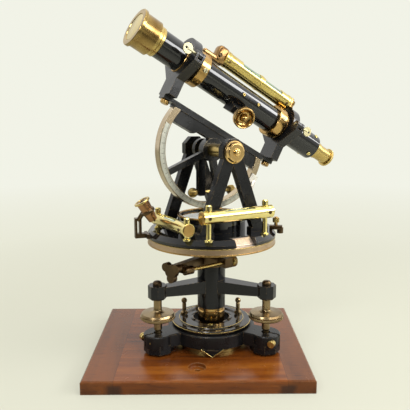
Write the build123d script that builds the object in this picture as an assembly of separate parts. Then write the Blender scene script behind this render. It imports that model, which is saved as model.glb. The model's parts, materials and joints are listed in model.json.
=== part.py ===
from build123d import *
from math import cos, radians, sin, sqrt
import os

# A five-inch plain wye theodolite on its case board, in millimetres.
# +Z is up and the origin is under the board, on the instrument's vertical axis.

# Fits
FIT = 0.03                # radial clearance of a shaft that turns or slides in its hole
GAP = 0.3                 # free space between pieces that pass each other

# Case board
BOARD_WIDTH = 228.6
BOARD_DEPTH = 198.3
BOARD_THICK = 13.7
BOARD_OFFSET_X = -14.55   # the instrument stands off centre on its board
BOARD_EDGE = 1.5
BOARD_HOLE_X = -16.1
BOARD_HOLE_Y = -69.6
BOARD_HOLE_RADIUS = 3.0
BOARD_SINK_RADIUS = 9.0
BOARD_SINK_DEPTH = 4.0

# Foot flange, foot plate and shifting ring
FLANGE_RADIUS = 40.5
FLANGE_THICK = 8.3
SPIGOT_RADIUS = 12.0
SPIGOT_DEPTH = 8.0
PLATE_RADIUS = 48.5
PLATE_THICK = 14.0
WELL_RADIUS = 9.5
WELL_FLOOR = 2.0
LOBE_CIRCLE = 66.9
LOBE_RADIUS = 15.6
LOBE_LIFT = 0.0
LOBE_SLOT = 2.4
LOBE_ANGLES = (210, 330, 90)
TONGUE_WIDTH = 24.0
TONGUE_REACH = 50.0
RING_RADIUS = 44.2
RING_THICK = 5.5
RING_BORE = 20.5
RING_STEP = 1.4
SEAT_RADIUS = 15.0
SEAT_HEIGHT = 18.0
BALL_POST_CIRCLE = 31.8
BALL_POST_TURN = 14.5
BALL_RADIUS = 3.3
BALL_POST_HEIGHT = 15.5

# Foot screws
SCREW_RADIUS = 4.4
THREAD_RADIUS = 3.7
FOOT_BALL_RADIUS = 6.0
WHEEL_RADIUS = 18.5
WHEEL_LOW = 52.0
WHEEL_THICK = 6.6
CAP_RADIUS = 4.9
CAP_HEIGHT = 4.6

# Tribrach
HUB_RADIUS = 15.6
HUB_TOP = 103.0
ARM_WIDTH = 12.0
ARM_ROOT_LOW = 70.0
ARM_ROOT_HIGH = 88.5
BOSS_LOW = 73.8
BOSS_HIGH = 89.0
BOSS_WIDTH = 18.6

# Lower clamp and tangent screw
COLLAR_RADIUS = 18.0
COLLAR_HEIGHT = 12.7
TANGENT_HEIGHT = 110.0
TANGENT_OFFSET = 26.1     # from the vertical axis to the screw's line
TANGENT_TURN = 36.2       # the screw's heading in plan
TANGENT_RADIUS = 1.9
TANGENT_BACK = 55.0       # from the foot of the offset to the left end of the screw
TANGENT_KNOB_RADIUS = 6.2
TANGENT_KNOB_THICK = 5.5
LUG_WIDTH = 10.0
CLAMP_TURN = 232.8        # heading of the clamp arm in plan
CLAMP_ARM_REACH = 62.0
CLAMP_STEM_RADIUS = 2.5
TREFOIL_RADIUS = 12.0
TREFOIL_LOBE = 4.6
TREFOIL_THICK = 6.0

# Spindles and horizontal circle
OUTER_SPINDLE_RADIUS = 10.0
INNER_SPINDLE_RADIUS = 6.0
SPINDLE_FLANGE_RADIUS = 30.0
SPINDLE_FLANGE_THICK = 4.0
LIMB_RADIUS = 70.0
LIMB_LOW = 128.5
LIMB_THICK = 8.2
LIMB_SCALE_INNER = 61.0
LIMB_SCALE_OUTER = 69.0
LIMB_SCALE_THICK = 0.8
VERNIER_PLATE_RADIUS = 70.5
VERNIER_PLATE_TOP = 144.5
BEVEL_RADIUS = 67.0
BEVEL_HEIGHT = 5.0
WINDOW_WIDTH = 24.0
WINDOW_INNER = 56.5
VERNIER_REACH = 64.0

# Compass
COMPASS_RADIUS = 37.3
COMPASS_HEIGHT = 14.5
COMPASS_WALL = 2.6
COMPASS_FLOOR = 3.0
NEEDLE_LENGTH = 62.0
NEEDLE_WIDTH = 5.0
NEEDLE_RISE = 8.5
GLASS_THICK = 1.2

# Plate levels, in the frame of the upper plate
LEVEL_RADIUS = 6.6
LEVEL_BORE = 5.1
LEVEL_LIP = 6.9
FRONT_LEVEL_Y = 60.0
FRONT_LEVEL_Z = 168.5
FRONT_LEVEL_ENDS = (-36.0, 46.0)
FRONT_POSTS_X = (-28.5, 38.3)
SIDE_LEVEL_X = 54.0
SIDE_LEVEL_Z = 155.0
SIDE_LEVEL_ENDS = (-30.0, 48.0)
SIDE_POSTS_Y = (-22.5, 44.5)
POST_RADIUS = 2.6
POST_HEAD_RADIUS = 3.2
POST_RISE = 12.5           # from the level's axis to the top of the post's head

# Frames that carry the trunnions, in the frame of the upper plate
ALIDADE_TURN = 209.0      # heading of the telescope in plan
TRUNNION_HEIGHT = 229.5
TELESCOPE_TILT = 28.5
FRAME_INNER_Y = 36.0
FRAME_THICK = 8.0
FRAME_SPREAD = 33.5
FRAME_LEG_WIDTH = 13.0
FRAME_HEAD_RADIUS = 13.0
FRAME_FOOT_LENGTH = 22.0
FRAME_FOOT_THICK = 5.0
TRUNNION_RADIUS = 5.0
SLEEVE_RADIUS = 7.0
CAP_DOME_RADIUS = 11.6
CAP_DOME_THICK = 5.5
CAP_FAR_RADIUS = 8.0

# Reader over the verniers, in a frame turned from that of the upper plate
READER_TURN = -13.4
READER_SHOE_THICK = 3.2
READER_SHOE_WIDTH = 18.0
READER_FOOT_RISE = 4.8
READER_BAR_WIDTH = 7.0
READER_LOOP = (78.0, 85.0)
READER_LOOP_TOP = 159.0
READER_BAR = 2.4
READER_LOW_END = (66.4, 7.0, 157.4)
READER_TILT = 30.0
READER_TIP_RADIUS = 4.8
READER_RADIUS = 6.2
READER_EYE_RADIUS = 8.3

# Slow motion of the vertical arc, in the frame of the upper plate
CLAMP_ARM_Y = -20.0
CLAMP_ARM_THICK = 6.0
CLAMP_ARM_WIDTH = 9.0
CLAMP_ARM_FOOT = 177.0
CLAMP_ARM_SHIFT = 2.0
VERTICAL_SCREW_Z = 181.0
VERTICAL_SCREW_RADIUS = 1.8
VERTICAL_BALL_RADIUS = 5.6
VERTICAL_KNOB_RADIUS = 5.4
VERTICAL_KNOB_THICK = 7.0
VERTICAL_SCREW_REACH = 34.0

# Vertical arc and wyes, in the telescope's frame: x along it, y along the trunnions, z square to both
ARC_RADIUS = 64.0
ARC_WIDTH = 7.2
ARC_NEAR_Y = 3.8
ARC_THICK = 10.0
ARC_SCALE_THICK = 0.6
ARC_HUB_RADIUS = 12.5
SPOKE_ANGLES = (-51, -129)
SPOKE_WIDTH = 6.5
WEB_LOW = 4.5
WEB_HIGH = 18.2
BAR_HIGH = 24.3
BAR_END = 77.0
BAR_WIDTH = 12.0
WYE_REACH = 72.0
WYE_THICK = 10.0
WYE_STEM_WIDTH = 24.0
WYE_STEM_TOP = 42.0
PIN_Y = 28.5
PIN_RISE = 2.5            # from the telescope's axis to the clip pins
PIN_RADIUS = 1.4
EAR_RADIUS = 4.3
FORK_WIDTH = 5.0
CLIP_WALL = 7.9
TAB_RADIUS = 5.3
TAB_THICK = 1.6
TAB_REACH = 86.0
NUT_RADIUS = 4.6

# Telescope
TUBE_RISE = 65.0          # telescope's axis above the trunnions' axis
TUBE_RADIUS = 14.6
TUBE_BORE = 13.0
TUBE_ENDS = (-120.0, 105.0)
WYE_RING_RADIUS = 15.6
COLLAR_BAND_RADIUS = 18.4
OBJECT_COLLAR = (50.0, 61.0)
EYE_COLLAR = (-63.0, -52.0)
DRAW_RADIUS = 12.9
DRAW_BORE = 11.4
DRAW_BACK = 40.0
DRAW_RING_RADIUS = 15.6
DRAW_RING_LENGTH = 7.0
CELL_RADIUS = 16.6
CELL_LENGTH = 19.0
LENS_CAP_RADIUS = 18.0
LENS_CAP_RIM = 19.7
LENS_CAP_THICK = 2.5
EYE_TUBE_RADIUS = 8.0
EYE_BARREL_RADIUS = 10.0
EYE_BARREL_LENGTH = 27.0
EYE_RIM_RADIUS = 11.0
EYE_RIM_THICK = 3.5

# Telescope level
MAIN_LEVEL_RADIUS = 8.5
MAIN_LEVEL_BORE = 6.2
MAIN_LEVEL_RISE = 27.0    # above the telescope's axis
MAIN_LEVEL_ENDS = (-64.0, 34.0)
MAIN_LEVEL_WINDOWS = ((-48.6, -21.9), (-14.8, 11.8))
BRACKET_ENDS = (31.0, 45.0)
BRACKET_RISE = 8.8        # above the level's axis
LEVEL_NUT_RADIUS = 5.0
LEVEL_TONGUE_THICK = 3.0

# Focusing
FOCUS_X = -6.0
FOCUS_AXIS_DROP = 25.0    # degrees below the trunnions' direction
FOCUS_AXIS_OFFSET = 10.8  # from the telescope's axis to the pinion's axis
FOCUS_KNOB_RADIUS = 11.5
FOCUS_KNOB_OUT = 32.0     # from the telescope's axis to the knob's middle, along the pinion
FOCUS_KNOB_THICK = 9.0
FOCUS_STEM_RADIUS = 2.0
FOCUS_BOX_LENGTH = 30.0
FOCUS_TRAVEL = 20.0

# Levels worked out from the sizes above
BOTTOM = (Align.CENTER, Align.CENTER, Align.MIN)
FLANGE_TOP = BOARD_THICK + FLANGE_THICK
PLATE_TOP = FLANGE_TOP + PLATE_THICK
RING_TOP = PLATE_TOP + RING_THICK
HUB_LOW = PLATE_TOP + SEAT_HEIGHT
COLLAR_TOP = HUB_TOP + COLLAR_HEIGHT
LIMB_TOP = LIMB_LOW + LIMB_THICK
VERNIER_PLATE_LOW = LIMB_TOP + GAP
COMPASS_TOP = VERNIER_PLATE_TOP + COMPASS_HEIGHT
DIAL_LEVEL = VERNIER_PLATE_TOP + COMPASS_FLOOR
NEEDLE_LEVEL = VERNIER_PLATE_TOP + NEEDLE_RISE
FRAME_OUTER_Y = FRAME_INNER_Y + FRAME_THICK
WYE_BORE = WYE_RING_RADIUS + FIT
PIN_LEVEL = TUBE_RISE + PIN_RISE

# Frames of reference
ALIDADE = Rot(0, 0, ALIDADE_TURN)
TELESCOPE = ALIDADE * Pos(0, 0, TRUNNION_HEIGHT) * Rot(0, -TELESCOPE_TILT, 0)
TUBE = TELESCOPE * Pos(0, 0, TUBE_RISE)


# Ways of making a shape
def outlined(*points):
    """The face inside a closed outline, facing forwards whichever way its points run."""
    turns = sum(x1 * y2 - x2 * y1 for (x1, y1), (x2, y2) in zip(points, points[1:] + points[:1]))
    return Polygon(*(points if turns > 0 else points[::-1]), align=None)


def turned(*profile):
    """A turned piece from the (radius, height) points of its half section."""
    return revolve(Plane.XZ * Polygon(*profile, align=None), Axis.Z)


def turned_along_x(*profile):
    """A turned piece from (distance along x, radius) points, spun about X."""
    return revolve(Plane.XZ * Polygon(*profile, align=None), Axis.X)


def rod(start, end, radius):
    run = Vector(*end) - Vector(*start)
    return Plane(origin=start, z_dir=run) * Cylinder(radius, run.length, align=BOTTOM)


def block(low, high):
    size = [top - bottom for bottom, top in zip(low, high)]
    middle = [(top + bottom) / 2 for bottom, top in zip(low, high)]
    return Pos(*middle) * Box(*size)


def upright(outline, y_low, y_high):
    """An outline in the XZ plane, given thickness from y_low to y_high."""
    return Pos(0, y_high, 0) * extrude(Plane.XZ * outline, y_high - y_low)


def around(angle, shape):
    return Rot(0, 0, angle) * shape


# Case board and base
def case_board():
    board = Pos(BOARD_OFFSET_X, 0, 0) * Box(BOARD_WIDTH, BOARD_DEPTH, BOARD_THICK, align=BOTTOM)
    board = chamfer(board.edges().group_by(Axis.Z)[-1], BOARD_EDGE)
    spigot = Pos(0, 0, BOARD_THICK - SPIGOT_DEPTH) * Cylinder(SPIGOT_RADIUS + FIT, SPIGOT_DEPTH, align=BOTTOM)
    sink = Pos(BOARD_HOLE_X, BOARD_HOLE_Y, BOARD_THICK) * Cylinder(
        BOARD_SINK_RADIUS, 2 * BOARD_SINK_DEPTH)
    hole = Pos(BOARD_HOLE_X, BOARD_HOLE_Y, 0) * Cylinder(BOARD_HOLE_RADIUS, 2 * BOARD_THICK)
    return board - spigot - sink - hole


def foot_flange():
    rim = FLANGE_THICK * 0.45
    spigot_low = BOARD_THICK - SPIGOT_DEPTH
    return turned((0, spigot_low), (SPIGOT_RADIUS, spigot_low), (SPIGOT_RADIUS, BOARD_THICK),
                  (FLANGE_RADIUS, BOARD_THICK), (FLANGE_RADIUS, BOARD_THICK + rim),
                  (FLANGE_RADIUS - 3 * rim / 2, FLANGE_TOP), (0, FLANGE_TOP))


def foot_tongue():
    """The wedge under the front of the foot plate."""
    wedge = outlined((-TONGUE_WIDTH / 2, FLANGE_TOP), (0, BOARD_THICK), (TONGUE_WIDTH / 2, FLANGE_TOP))
    return upright(wedge, -TONGUE_REACH, -FLANGE_RADIUS + FLANGE_THICK / 2)


def foot_plate():
    plate = Pos(0, 0, FLANGE_TOP) * Cylinder(PLATE_RADIUS, PLATE_THICK, align=BOTTOM)
    low = FLANGE_TOP + LOBE_LIFT
    height = PLATE_TOP - low
    for angle in LOBE_ANGLES:
        arm = Pos(LOBE_CIRCLE / 2, 0, low) * Box(LOBE_CIRCLE, 1.7 * LOBE_RADIUS, height, align=BOTTOM)
        lobe = Pos(LOBE_CIRCLE, 0, low) * Cylinder(LOBE_RADIUS, height, align=BOTTOM)
        plate += around(angle, arm + lobe)
    plate = chamfer(plate.edges().group_by(Axis.Z)[-1], 1.0)
    socket = Sphere(FOOT_BALL_RADIUS + FIT)
    socket += Cylinder(SCREW_RADIUS + GAP, PLATE_THICK, align=BOTTOM)
    slot = Box(2 * LOBE_RADIUS, LOBE_SLOT, PLATE_THICK, align=(Align.MIN, Align.CENTER, Align.CENTER))
    for angle in LOBE_ANGLES:
        plate -= around(angle, Pos(LOBE_CIRCLE, 0, PLATE_TOP - height / 2) * (socket + slot))
        plate -= around(angle, clamp_screw(FIT))
    plate -= Pos(0, 0, FLANGE_TOP + WELL_FLOOR) * Cylinder(WELL_RADIUS, PLATE_THICK, align=BOTTOM)
    return plate + (foot_tongue() - foot_flange())


def clamp_screw(clearance=0.0):
    """The pinch screw across a lobe's slot, with its head in front."""
    reach = LOBE_CIRCLE + FOOT_BALL_RADIUS + 3 * TANGENT_RADIUS
    level = (FLANGE_TOP + LOBE_LIFT + PLATE_TOP) / 2
    half = sqrt(LOBE_RADIUS ** 2 - (reach - LOBE_CIRCLE) ** 2)
    shank = rod((reach, -half, level), (reach, half * 0.8, level), TANGENT_RADIUS + clearance)
    head = rod((reach, -half - 2.4, level), (reach, -half + 1.2, level), 2 * TANGENT_RADIUS + clearance)
    return shank + head


def base_screws():
    return [around(angle, clamp_screw()) for angle in LOBE_ANGLES]


def shifting_ring():
    step = RING_STEP
    ring = turned((RING_BORE, PLATE_TOP), (RING_RADIUS - step, PLATE_TOP), (RING_RADIUS, PLATE_TOP + step),
                  (RING_RADIUS, RING_TOP - 2 * step), (RING_RADIUS - step, RING_TOP - step),
                  (RING_RADIUS - 5 * step, RING_TOP - step), (RING_RADIUS - 6 * step, RING_TOP),
                  (RING_RADIUS - 10 * step, RING_TOP), (RING_RADIUS - 11 * step, RING_TOP - step),
                  (RING_BORE + 2 * step, RING_TOP - step), (RING_BORE, RING_TOP))
    recess = Pos(0, -RING_BORE, RING_TOP) * Box(25, 14, 2 * RING_STEP + 1)
    return ring - recess


def ball_posts():
    posts = []
    for angle in (BALL_POST_TURN, 180 - BALL_POST_TURN):
        top = RING_TOP + BALL_POST_HEIGHT
        neck = turned((0, RING_TOP), (BALL_RADIUS + 1, RING_TOP), (BALL_RADIUS + 1, RING_TOP + 2),
                      (BALL_RADIUS - 1, RING_TOP + 3.5), (BALL_RADIUS - 1, top - BALL_RADIUS), (0, top))
        posts.append(around(angle, Pos(BALL_POST_CIRCLE, 0,
                                       0) * (neck + Pos(0, 0, top) * Sphere(BALL_RADIUS))))
    return posts


def spindle_seat():
    bore = OUTER_SPINDLE_RADIUS + GAP
    return turned((bore, PLATE_TOP), (SEAT_RADIUS, PLATE_TOP), (SEAT_RADIUS, HUB_LOW - 4),
                  (SEAT_RADIUS - 1, HUB_LOW - 3), (SEAT_RADIUS - 1, HUB_LOW), (bore, HUB_LOW))


# Tribrach and foot screws
def tribrach():
    hub = Pos(0, 0, HUB_LOW) * Cylinder(HUB_RADIUS, HUB_TOP - HUB_LOW, align=BOTTOM)
    hub = chamfer(hub.edges().filter_by(GeomType.CIRCLE), 0.8)
    boss_height = BOSS_HIGH - BOSS_LOW
    boss = extrude(RegularPolygon(BOSS_WIDTH / 2, 8, major_radius=False, rotation=22.5), boss_height)
    boss = chamfer(boss.edges().group_by(Axis.Z)[0], 1.5)
    for angle in LOBE_ANGLES:
        root = Plane(origin=(HUB_RADIUS - 5, 0, (ARM_ROOT_LOW + ARM_ROOT_HIGH) / 2), z_dir=(1, 0, 0))
        tip = Plane(origin=(LOBE_CIRCLE, 0, (BOSS_LOW + BOSS_HIGH) / 2 + 0.3), z_dir=(1, 0, 0))
        arm = loft([root * Rectangle(ARM_WIDTH * 1.2, ARM_ROOT_HIGH - ARM_ROOT_LOW),
                    tip * Rectangle(ARM_WIDTH * 0.8, boss_height - 3)])
        hub += around(angle, arm + Pos(LOBE_CIRCLE, 0, BOSS_LOW) * boss)
    hub -= Cylinder(OUTER_SPINDLE_RADIUS + FIT, 2 * HUB_TOP, align=BOTTOM)
    for angle in LOBE_ANGLES:
        hub -= around(angle, Pos(LOBE_CIRCLE, 0, 0) * Cylinder(THREAD_RADIUS + FIT, 2 * HUB_TOP,
                                                               align=BOTTOM))
    return hub


def dust_caps():
    bore = THREAD_RADIUS + FIT
    top = BOSS_HIGH + CAP_HEIGHT
    cap = turned((bore, BOSS_HIGH), (CAP_RADIUS, BOSS_HIGH), (CAP_RADIUS, top - 2.2),
                 (CAP_RADIUS - 1.1, top - 0.7),
                 (CAP_RADIUS - 3, top), (0, top), (0, top - 2), (bore, top - 2))
    return [around(angle, Pos(LOBE_CIRCLE, 0, 0) * cap) for angle in LOBE_ANGLES]


def foot_screw(angle):
    ball_level = (FLANGE_TOP + LOBE_LIFT + PLATE_TOP) / 2
    wheel_top = WHEEL_LOW + WHEEL_THICK
    shank = SCREW_RADIUS
    neck = shank * 0.75
    screw = Pos(0, 0, ball_level) * Sphere(FOOT_BALL_RADIUS)
    screw += turned((0, ball_level), (neck, ball_level), (neck, PLATE_TOP + 2), (shank, PLATE_TOP + 4),
                    (shank, WHEEL_LOW - 3), (shank + 2, WHEEL_LOW), (WHEEL_RADIUS - 1, WHEEL_LOW),
                    (WHEEL_RADIUS, WHEEL_LOW + 1), (WHEEL_RADIUS, WHEEL_LOW + 3),
                    (WHEEL_RADIUS - 1.2, WHEEL_LOW + 3.6),
                    (WHEEL_RADIUS - 0.6, WHEEL_LOW + 4.6), (WHEEL_RADIUS - 1.6, wheel_top),
                    (shank + 4, wheel_top + 1), (shank + 1, wheel_top + 2), (shank, wheel_top + 3),
                    (shank, BOSS_LOW - 1.2), (THREAD_RADIUS, BOSS_LOW - GAP),
                    (THREAD_RADIUS, BOSS_HIGH + 2), (0, BOSS_HIGH + 2))
    return around(angle, Pos(LOBE_CIRCLE, 0, 0) * screw)


# Lower clamp
def tangent_point(along, height=TANGENT_HEIGHT):
    """A point on the tangent screw's line, measured from its nearest point to the axis."""
    turn = radians(TANGENT_TURN)
    foot_x, foot_y = TANGENT_OFFSET * sin(turn), -TANGENT_OFFSET * cos(turn)
    return (foot_x + along * cos(turn), foot_y + along * sin(turn), height)


def lower_collar():
    collar = turned((OUTER_SPINDLE_RADIUS + FIT, HUB_TOP), (COLLAR_RADIUS, HUB_TOP),
                    (COLLAR_RADIUS, COLLAR_TOP - 1),
                    (COLLAR_RADIUS - 1, COLLAR_TOP), (OUTER_SPINDLE_RADIUS + FIT, COLLAR_TOP))
    lug = block((COLLAR_RADIUS * 0.75, -LUG_WIDTH / 2, TANGENT_HEIGHT - LUG_WIDTH / 2),
                (TANGENT_OFFSET + LUG_WIDTH / 2, LUG_WIDTH / 2, COLLAR_TOP))
    arm = block((COLLAR_RADIUS * 0.75, -3.5, TANGENT_HEIGHT - 3), (CLAMP_ARM_REACH, 3.5, COLLAR_TOP))
    arm = chamfer(arm.edges().group_by(Axis.X)[-1], 1.5)
    bridge = block((CLAMP_ARM_REACH - 12, 0, TANGENT_HEIGHT - 3),
                   (CLAMP_ARM_REACH - 2, 10, TANGENT_HEIGHT + 3))
    collar += around(TANGENT_TURN - 90, lug) + around(CLAMP_TURN, arm + bridge)
    start, end = tangent_point(-TANGENT_BACK), tangent_point(-TANGENT_BACK + LUG_WIDTH)
    collar += rod(start, end, 2.4 * TANGENT_RADIUS)
    stem = rod((COLLAR_RADIUS, 0, TANGENT_HEIGHT), (2 * CLAMP_ARM_REACH, 0, TANGENT_HEIGHT),
               CLAMP_STEM_RADIUS + FIT)
    screw = rod(tangent_point(-2 * TANGENT_BACK), tangent_point(TANGENT_BACK), TANGENT_RADIUS + FIT)
    return collar - around(CLAMP_TURN, stem) - screw


def lower_clamp_screw():
    level = TANGENT_HEIGHT
    head_at = CLAMP_ARM_REACH + GAP
    face = Plane(origin=(head_at + 3, 0, level), x_dir=(0, 1, 0), z_dir=(1, 0, 0))
    trefoil = Circle(TREFOIL_LOBE * 1.5)
    for angle in (30, 150, 270):
        reach = TREFOIL_RADIUS - TREFOIL_LOBE
        trefoil += Rot(0, 0, angle) * (Pos(reach, 0) * Circle(TREFOIL_LOBE))
        trefoil += Rot(0, 0, angle) * (Pos(reach / 2, 0) * Rectangle(reach, 1.6 * TREFOIL_LOBE))
    screw = face * extrude(trefoil, TREFOIL_THICK)
    screw += rod((head_at, 0, level), (head_at + 4, 0, level), 2 * CLAMP_STEM_RADIUS)
    screw += rod((COLLAR_RADIUS * 1.5, 0, level), (head_at + 4, 0, level), CLAMP_STEM_RADIUS)
    return around(CLAMP_TURN, screw)


def lower_tangent_screw():
    knob_at = LUG_WIDTH / 2 + 1.5
    screw = rod(tangent_point(-TANGENT_BACK + 1), tangent_point(knob_at + 1), TANGENT_RADIUS)
    screw += rod(tangent_point(LUG_WIDTH / 2 + GAP), tangent_point(knob_at + 1), 1.8 * TANGENT_RADIUS)
    knob = rod(tangent_point(knob_at), tangent_point(knob_at + TANGENT_KNOB_THICK), TANGENT_KNOB_RADIUS)
    screw += chamfer(knob.edges().filter_by(GeomType.CIRCLE), 0.8)
    return screw


# Spindles, horizontal circle and vernier plate
def outer_spindle():
    bore = INNER_SPINDLE_RADIUS + FIT
    low = HUB_LOW + 3
    flange_low = LIMB_LOW - SPINDLE_FLANGE_THICK
    return turned((bore, low), (OUTER_SPINDLE_RADIUS, low), (OUTER_SPINDLE_RADIUS, COLLAR_TOP + GAP),
                  (OUTER_SPINDLE_RADIUS + 4, COLLAR_TOP + GAP), (OUTER_SPINDLE_RADIUS + 6, flange_low - 2),
                  (SPINDLE_FLANGE_RADIUS, flange_low), (SPINDLE_FLANGE_RADIUS, LIMB_LOW), (bore, LIMB_LOW))


def horizontal_limb():
    bore = INNER_SPINDLE_RADIUS + GAP
    seat = LIMB_TOP - LIMB_SCALE_THICK
    return turned((bore, LIMB_LOW), (LIMB_RADIUS - 1.5, LIMB_LOW), (LIMB_RADIUS, LIMB_LOW + 1.5),
                  (LIMB_RADIUS, LIMB_TOP - 1), (LIMB_SCALE_OUTER, LIMB_TOP), (LIMB_SCALE_OUTER, seat),
                  (LIMB_SCALE_INNER, seat), (LIMB_SCALE_INNER, LIMB_TOP), (bore, LIMB_TOP))


def limb_scale():
    low = LIMB_TOP - LIMB_SCALE_THICK
    return turned((LIMB_SCALE_INNER, low), (LIMB_SCALE_OUTER, low), (LIMB_SCALE_OUTER, LIMB_TOP),
                  (LIMB_SCALE_INNER, LIMB_TOP))


def inner_spindle():
    low = HUB_LOW + 1
    return turned((0, low), (INNER_SPINDLE_RADIUS, low), (INNER_SPINDLE_RADIUS, VERNIER_PLATE_LOW),
                  (0, VERNIER_PLATE_LOW))


def window_wedge(inner, outer, width):
    """A window's space: its floor falls from the plate's top to the limb."""
    outline = outlined((inner, VERNIER_PLATE_TOP + 1), (inner, VERNIER_PLATE_TOP - 1),
                       (outer, VERNIER_PLATE_LOW),
                      (2 * outer, VERNIER_PLATE_LOW), (2 * outer, VERNIER_PLATE_TOP + 1))
    return Rot(0, 0, 90) * upright(outline, -width / 2, width / 2)


def vernier_plate():
    edge = VERNIER_PLATE_TOP - BEVEL_HEIGHT
    plate = turned((0, VERNIER_PLATE_LOW), (VERNIER_PLATE_RADIUS, VERNIER_PLATE_LOW),
                   (VERNIER_PLATE_RADIUS, edge),
                   (BEVEL_RADIUS, VERNIER_PLATE_TOP), (0, VERNIER_PLATE_TOP))
    for turn in (0, 180):
        plate -= around(turn, window_wedge(WINDOW_INNER, VERNIER_REACH - 2, WINDOW_WIDTH))
    return plate


def verniers():
    """The two silvered slopes that fill the floor of the windows down to the limb."""
    low = VERNIER_PLATE_LOW + 0.05
    slope = outlined((WINDOW_INNER, VERNIER_PLATE_TOP - 1), (WINDOW_INNER + 1.2, VERNIER_PLATE_TOP - 1),
                    (VERNIER_REACH, low + 0.6), (VERNIER_REACH, low), (VERNIER_REACH - 2, low))
    strip = Rot(0, 0, 90) * upright(slope, -WINDOW_WIDTH / 2 + 0.1, WINDOW_WIDTH / 2 - 0.1)
    return [around(turn, strip) for turn in (0, 180)]


# Compass
def compass_box():
    inner = COMPASS_RADIUS - COMPASS_WALL
    return turned((0, VERNIER_PLATE_TOP), (COMPASS_RADIUS, VERNIER_PLATE_TOP),
                  (COMPASS_RADIUS, COMPASS_TOP - 1),
                  (COMPASS_RADIUS - 1, COMPASS_TOP), (inner, COMPASS_TOP), (inner, COMPASS_TOP - 3),
                  (inner - 1, COMPASS_TOP - 3), (inner - 1, DIAL_LEVEL), (0, DIAL_LEVEL))


def compass_dial():
    inner = COMPASS_RADIUS - COMPASS_WALL - 1
    dial = turned((0, DIAL_LEVEL), (inner, DIAL_LEVEL), (inner, DIAL_LEVEL + 2), (inner - 7, DIAL_LEVEL + 2),
                  (inner - 7.5, DIAL_LEVEL + 1), (0, DIAL_LEVEL + 1))
    pivot = turned((0, DIAL_LEVEL + 1), (2, DIAL_LEVEL + 1), (1, NEEDLE_LEVEL - 1.2), (0, NEEDLE_LEVEL - GAP))
    return [dial, pivot]


def compass_glass():
    low = COMPASS_TOP - 3
    return Pos(0, 0, low) * Cylinder(COMPASS_RADIUS - COMPASS_WALL, GLASS_THICK, align=BOTTOM)


def compass_needle():
    half = NEEDLE_LENGTH / 2
    outline = outlined((-half, 0), (0, NEEDLE_WIDTH / 2), (half, 0), (0, -NEEDLE_WIDTH / 2))
    needle = Pos(0, 0, NEEDLE_LEVEL) * extrude(outline, 0.8)
    return needle + turned((0, NEEDLE_LEVEL), (3, NEEDLE_LEVEL), (2, NEEDLE_LEVEL + 2),
                           (0, NEEDLE_LEVEL + 2.2))


# Plate levels
def level_case(ends, radius, bore, windows, lip):
    """A level's tube along X, closed by end caps of radius lip, with windows open at the top."""
    low, high = ends
    tube = turned_along_x((low, 0), (low, lip), (low + 4, lip), (low + 5, radius), (high - 5, radius),
                          (high - 4, lip), (high, lip), (high, 0))
    tube -= rod((low + 4, 0, 0), (high - 4, 0, 0), bore)
    for start, end in windows:
        tube -= block((start, -0.62 * radius, bore * 0.55), (end, 0.62 * radius, 2 * radius))
    return tube


def level_vial(ends, bore):
    return rod((ends[0] + 4, 0, 0), (ends[1] - 4, 0, 0), bore - FIT)


def plate_level_windows(ends):
    return ((ends[0] + 22, ends[1] - 24),)


def front_level():
    place = Pos(0, FRONT_LEVEL_Y, FRONT_LEVEL_Z)
    return place * level_case(FRONT_LEVEL_ENDS, LEVEL_RADIUS, LEVEL_BORE,
                              plate_level_windows(FRONT_LEVEL_ENDS), LEVEL_LIP) - level_posts_cut()


def side_level():
    place = Pos(SIDE_LEVEL_X, 0, SIDE_LEVEL_Z) * Rot(0, 0, 90)
    return place * level_case(SIDE_LEVEL_ENDS, LEVEL_RADIUS, LEVEL_BORE,
                              plate_level_windows(SIDE_LEVEL_ENDS), LEVEL_LIP) - level_posts_cut()


def level_posts_cut():
    return Compound(children=level_posts(FIT))


def front_level_vial():
    vial = Pos(0, FRONT_LEVEL_Y, FRONT_LEVEL_Z) * level_vial((FRONT_POSTS_X[0], FRONT_POSTS_X[1]), LEVEL_BORE)
    return vial


def side_level_vial():
    vial = Pos(SIDE_LEVEL_X, 0, SIDE_LEVEL_Z) * Rot(0, 0,
                                                    90) * level_vial((SIDE_POSTS_Y[0], SIDE_POSTS_Y[1]),
                                                                     LEVEL_BORE)
    return vial


def level_posts(clearance=0.0):
    """Posts through the level's ends, each with a foot on the plate and a capstan head on top."""
    spots = [(x, FRONT_LEVEL_Y, FRONT_LEVEL_Z) for x in FRONT_POSTS_X]
    spots += [(SIDE_LEVEL_X, y, SIDE_LEVEL_Z) for y in SIDE_POSTS_Y]
    posts = []
    for x, y, level in spots:
        base, top = VERNIER_PLATE_TOP, level + POST_RISE
        shaft = POST_RADIUS + clearance
        head = POST_HEAD_RADIUS
        under = level + LEVEL_LIP
        posts.append(Pos(x, y, 0) * turned(
            (0, base), (head + 1, base), (head + 1, base + 1.5), (shaft, base + 2.5), (shaft, under),
            (head, under), (head, top - 1), (head - 1, top), (0, top)))
    return posts


# Frames
def frame_outline():
    head = Pos(0, TRUNNION_HEIGHT) * RegularPolygon(FRAME_HEAD_RADIUS, 8, major_radius=False, rotation=22.5)
    shape = head
    half = FRAME_LEG_WIDTH / 2
    base = VERNIER_PLATE_TOP
    top = TRUNNION_HEIGHT
    slope = FRAME_SPREAD / (top - base)
    across = half * sqrt(1 + slope ** 2)
    for side in (-1, 1):
        foot = side * FRAME_SPREAD
        shape += outlined((foot - across, base), (foot + across, base), (side * 2 + across, top),
                         (side * 2 - across, top))
        pad = FRAME_FOOT_LENGTH / 2
        shape += outlined((foot - pad, base), (foot + pad, base), (foot + pad, base + FRAME_FOOT_THICK - 1),
                         (foot + pad - 1, base + FRAME_FOOT_THICK), (foot - pad + 1, base + FRAME_FOOT_THICK),
                         (foot - pad, base + FRAME_FOOT_THICK - 1))
    return shape


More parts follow.
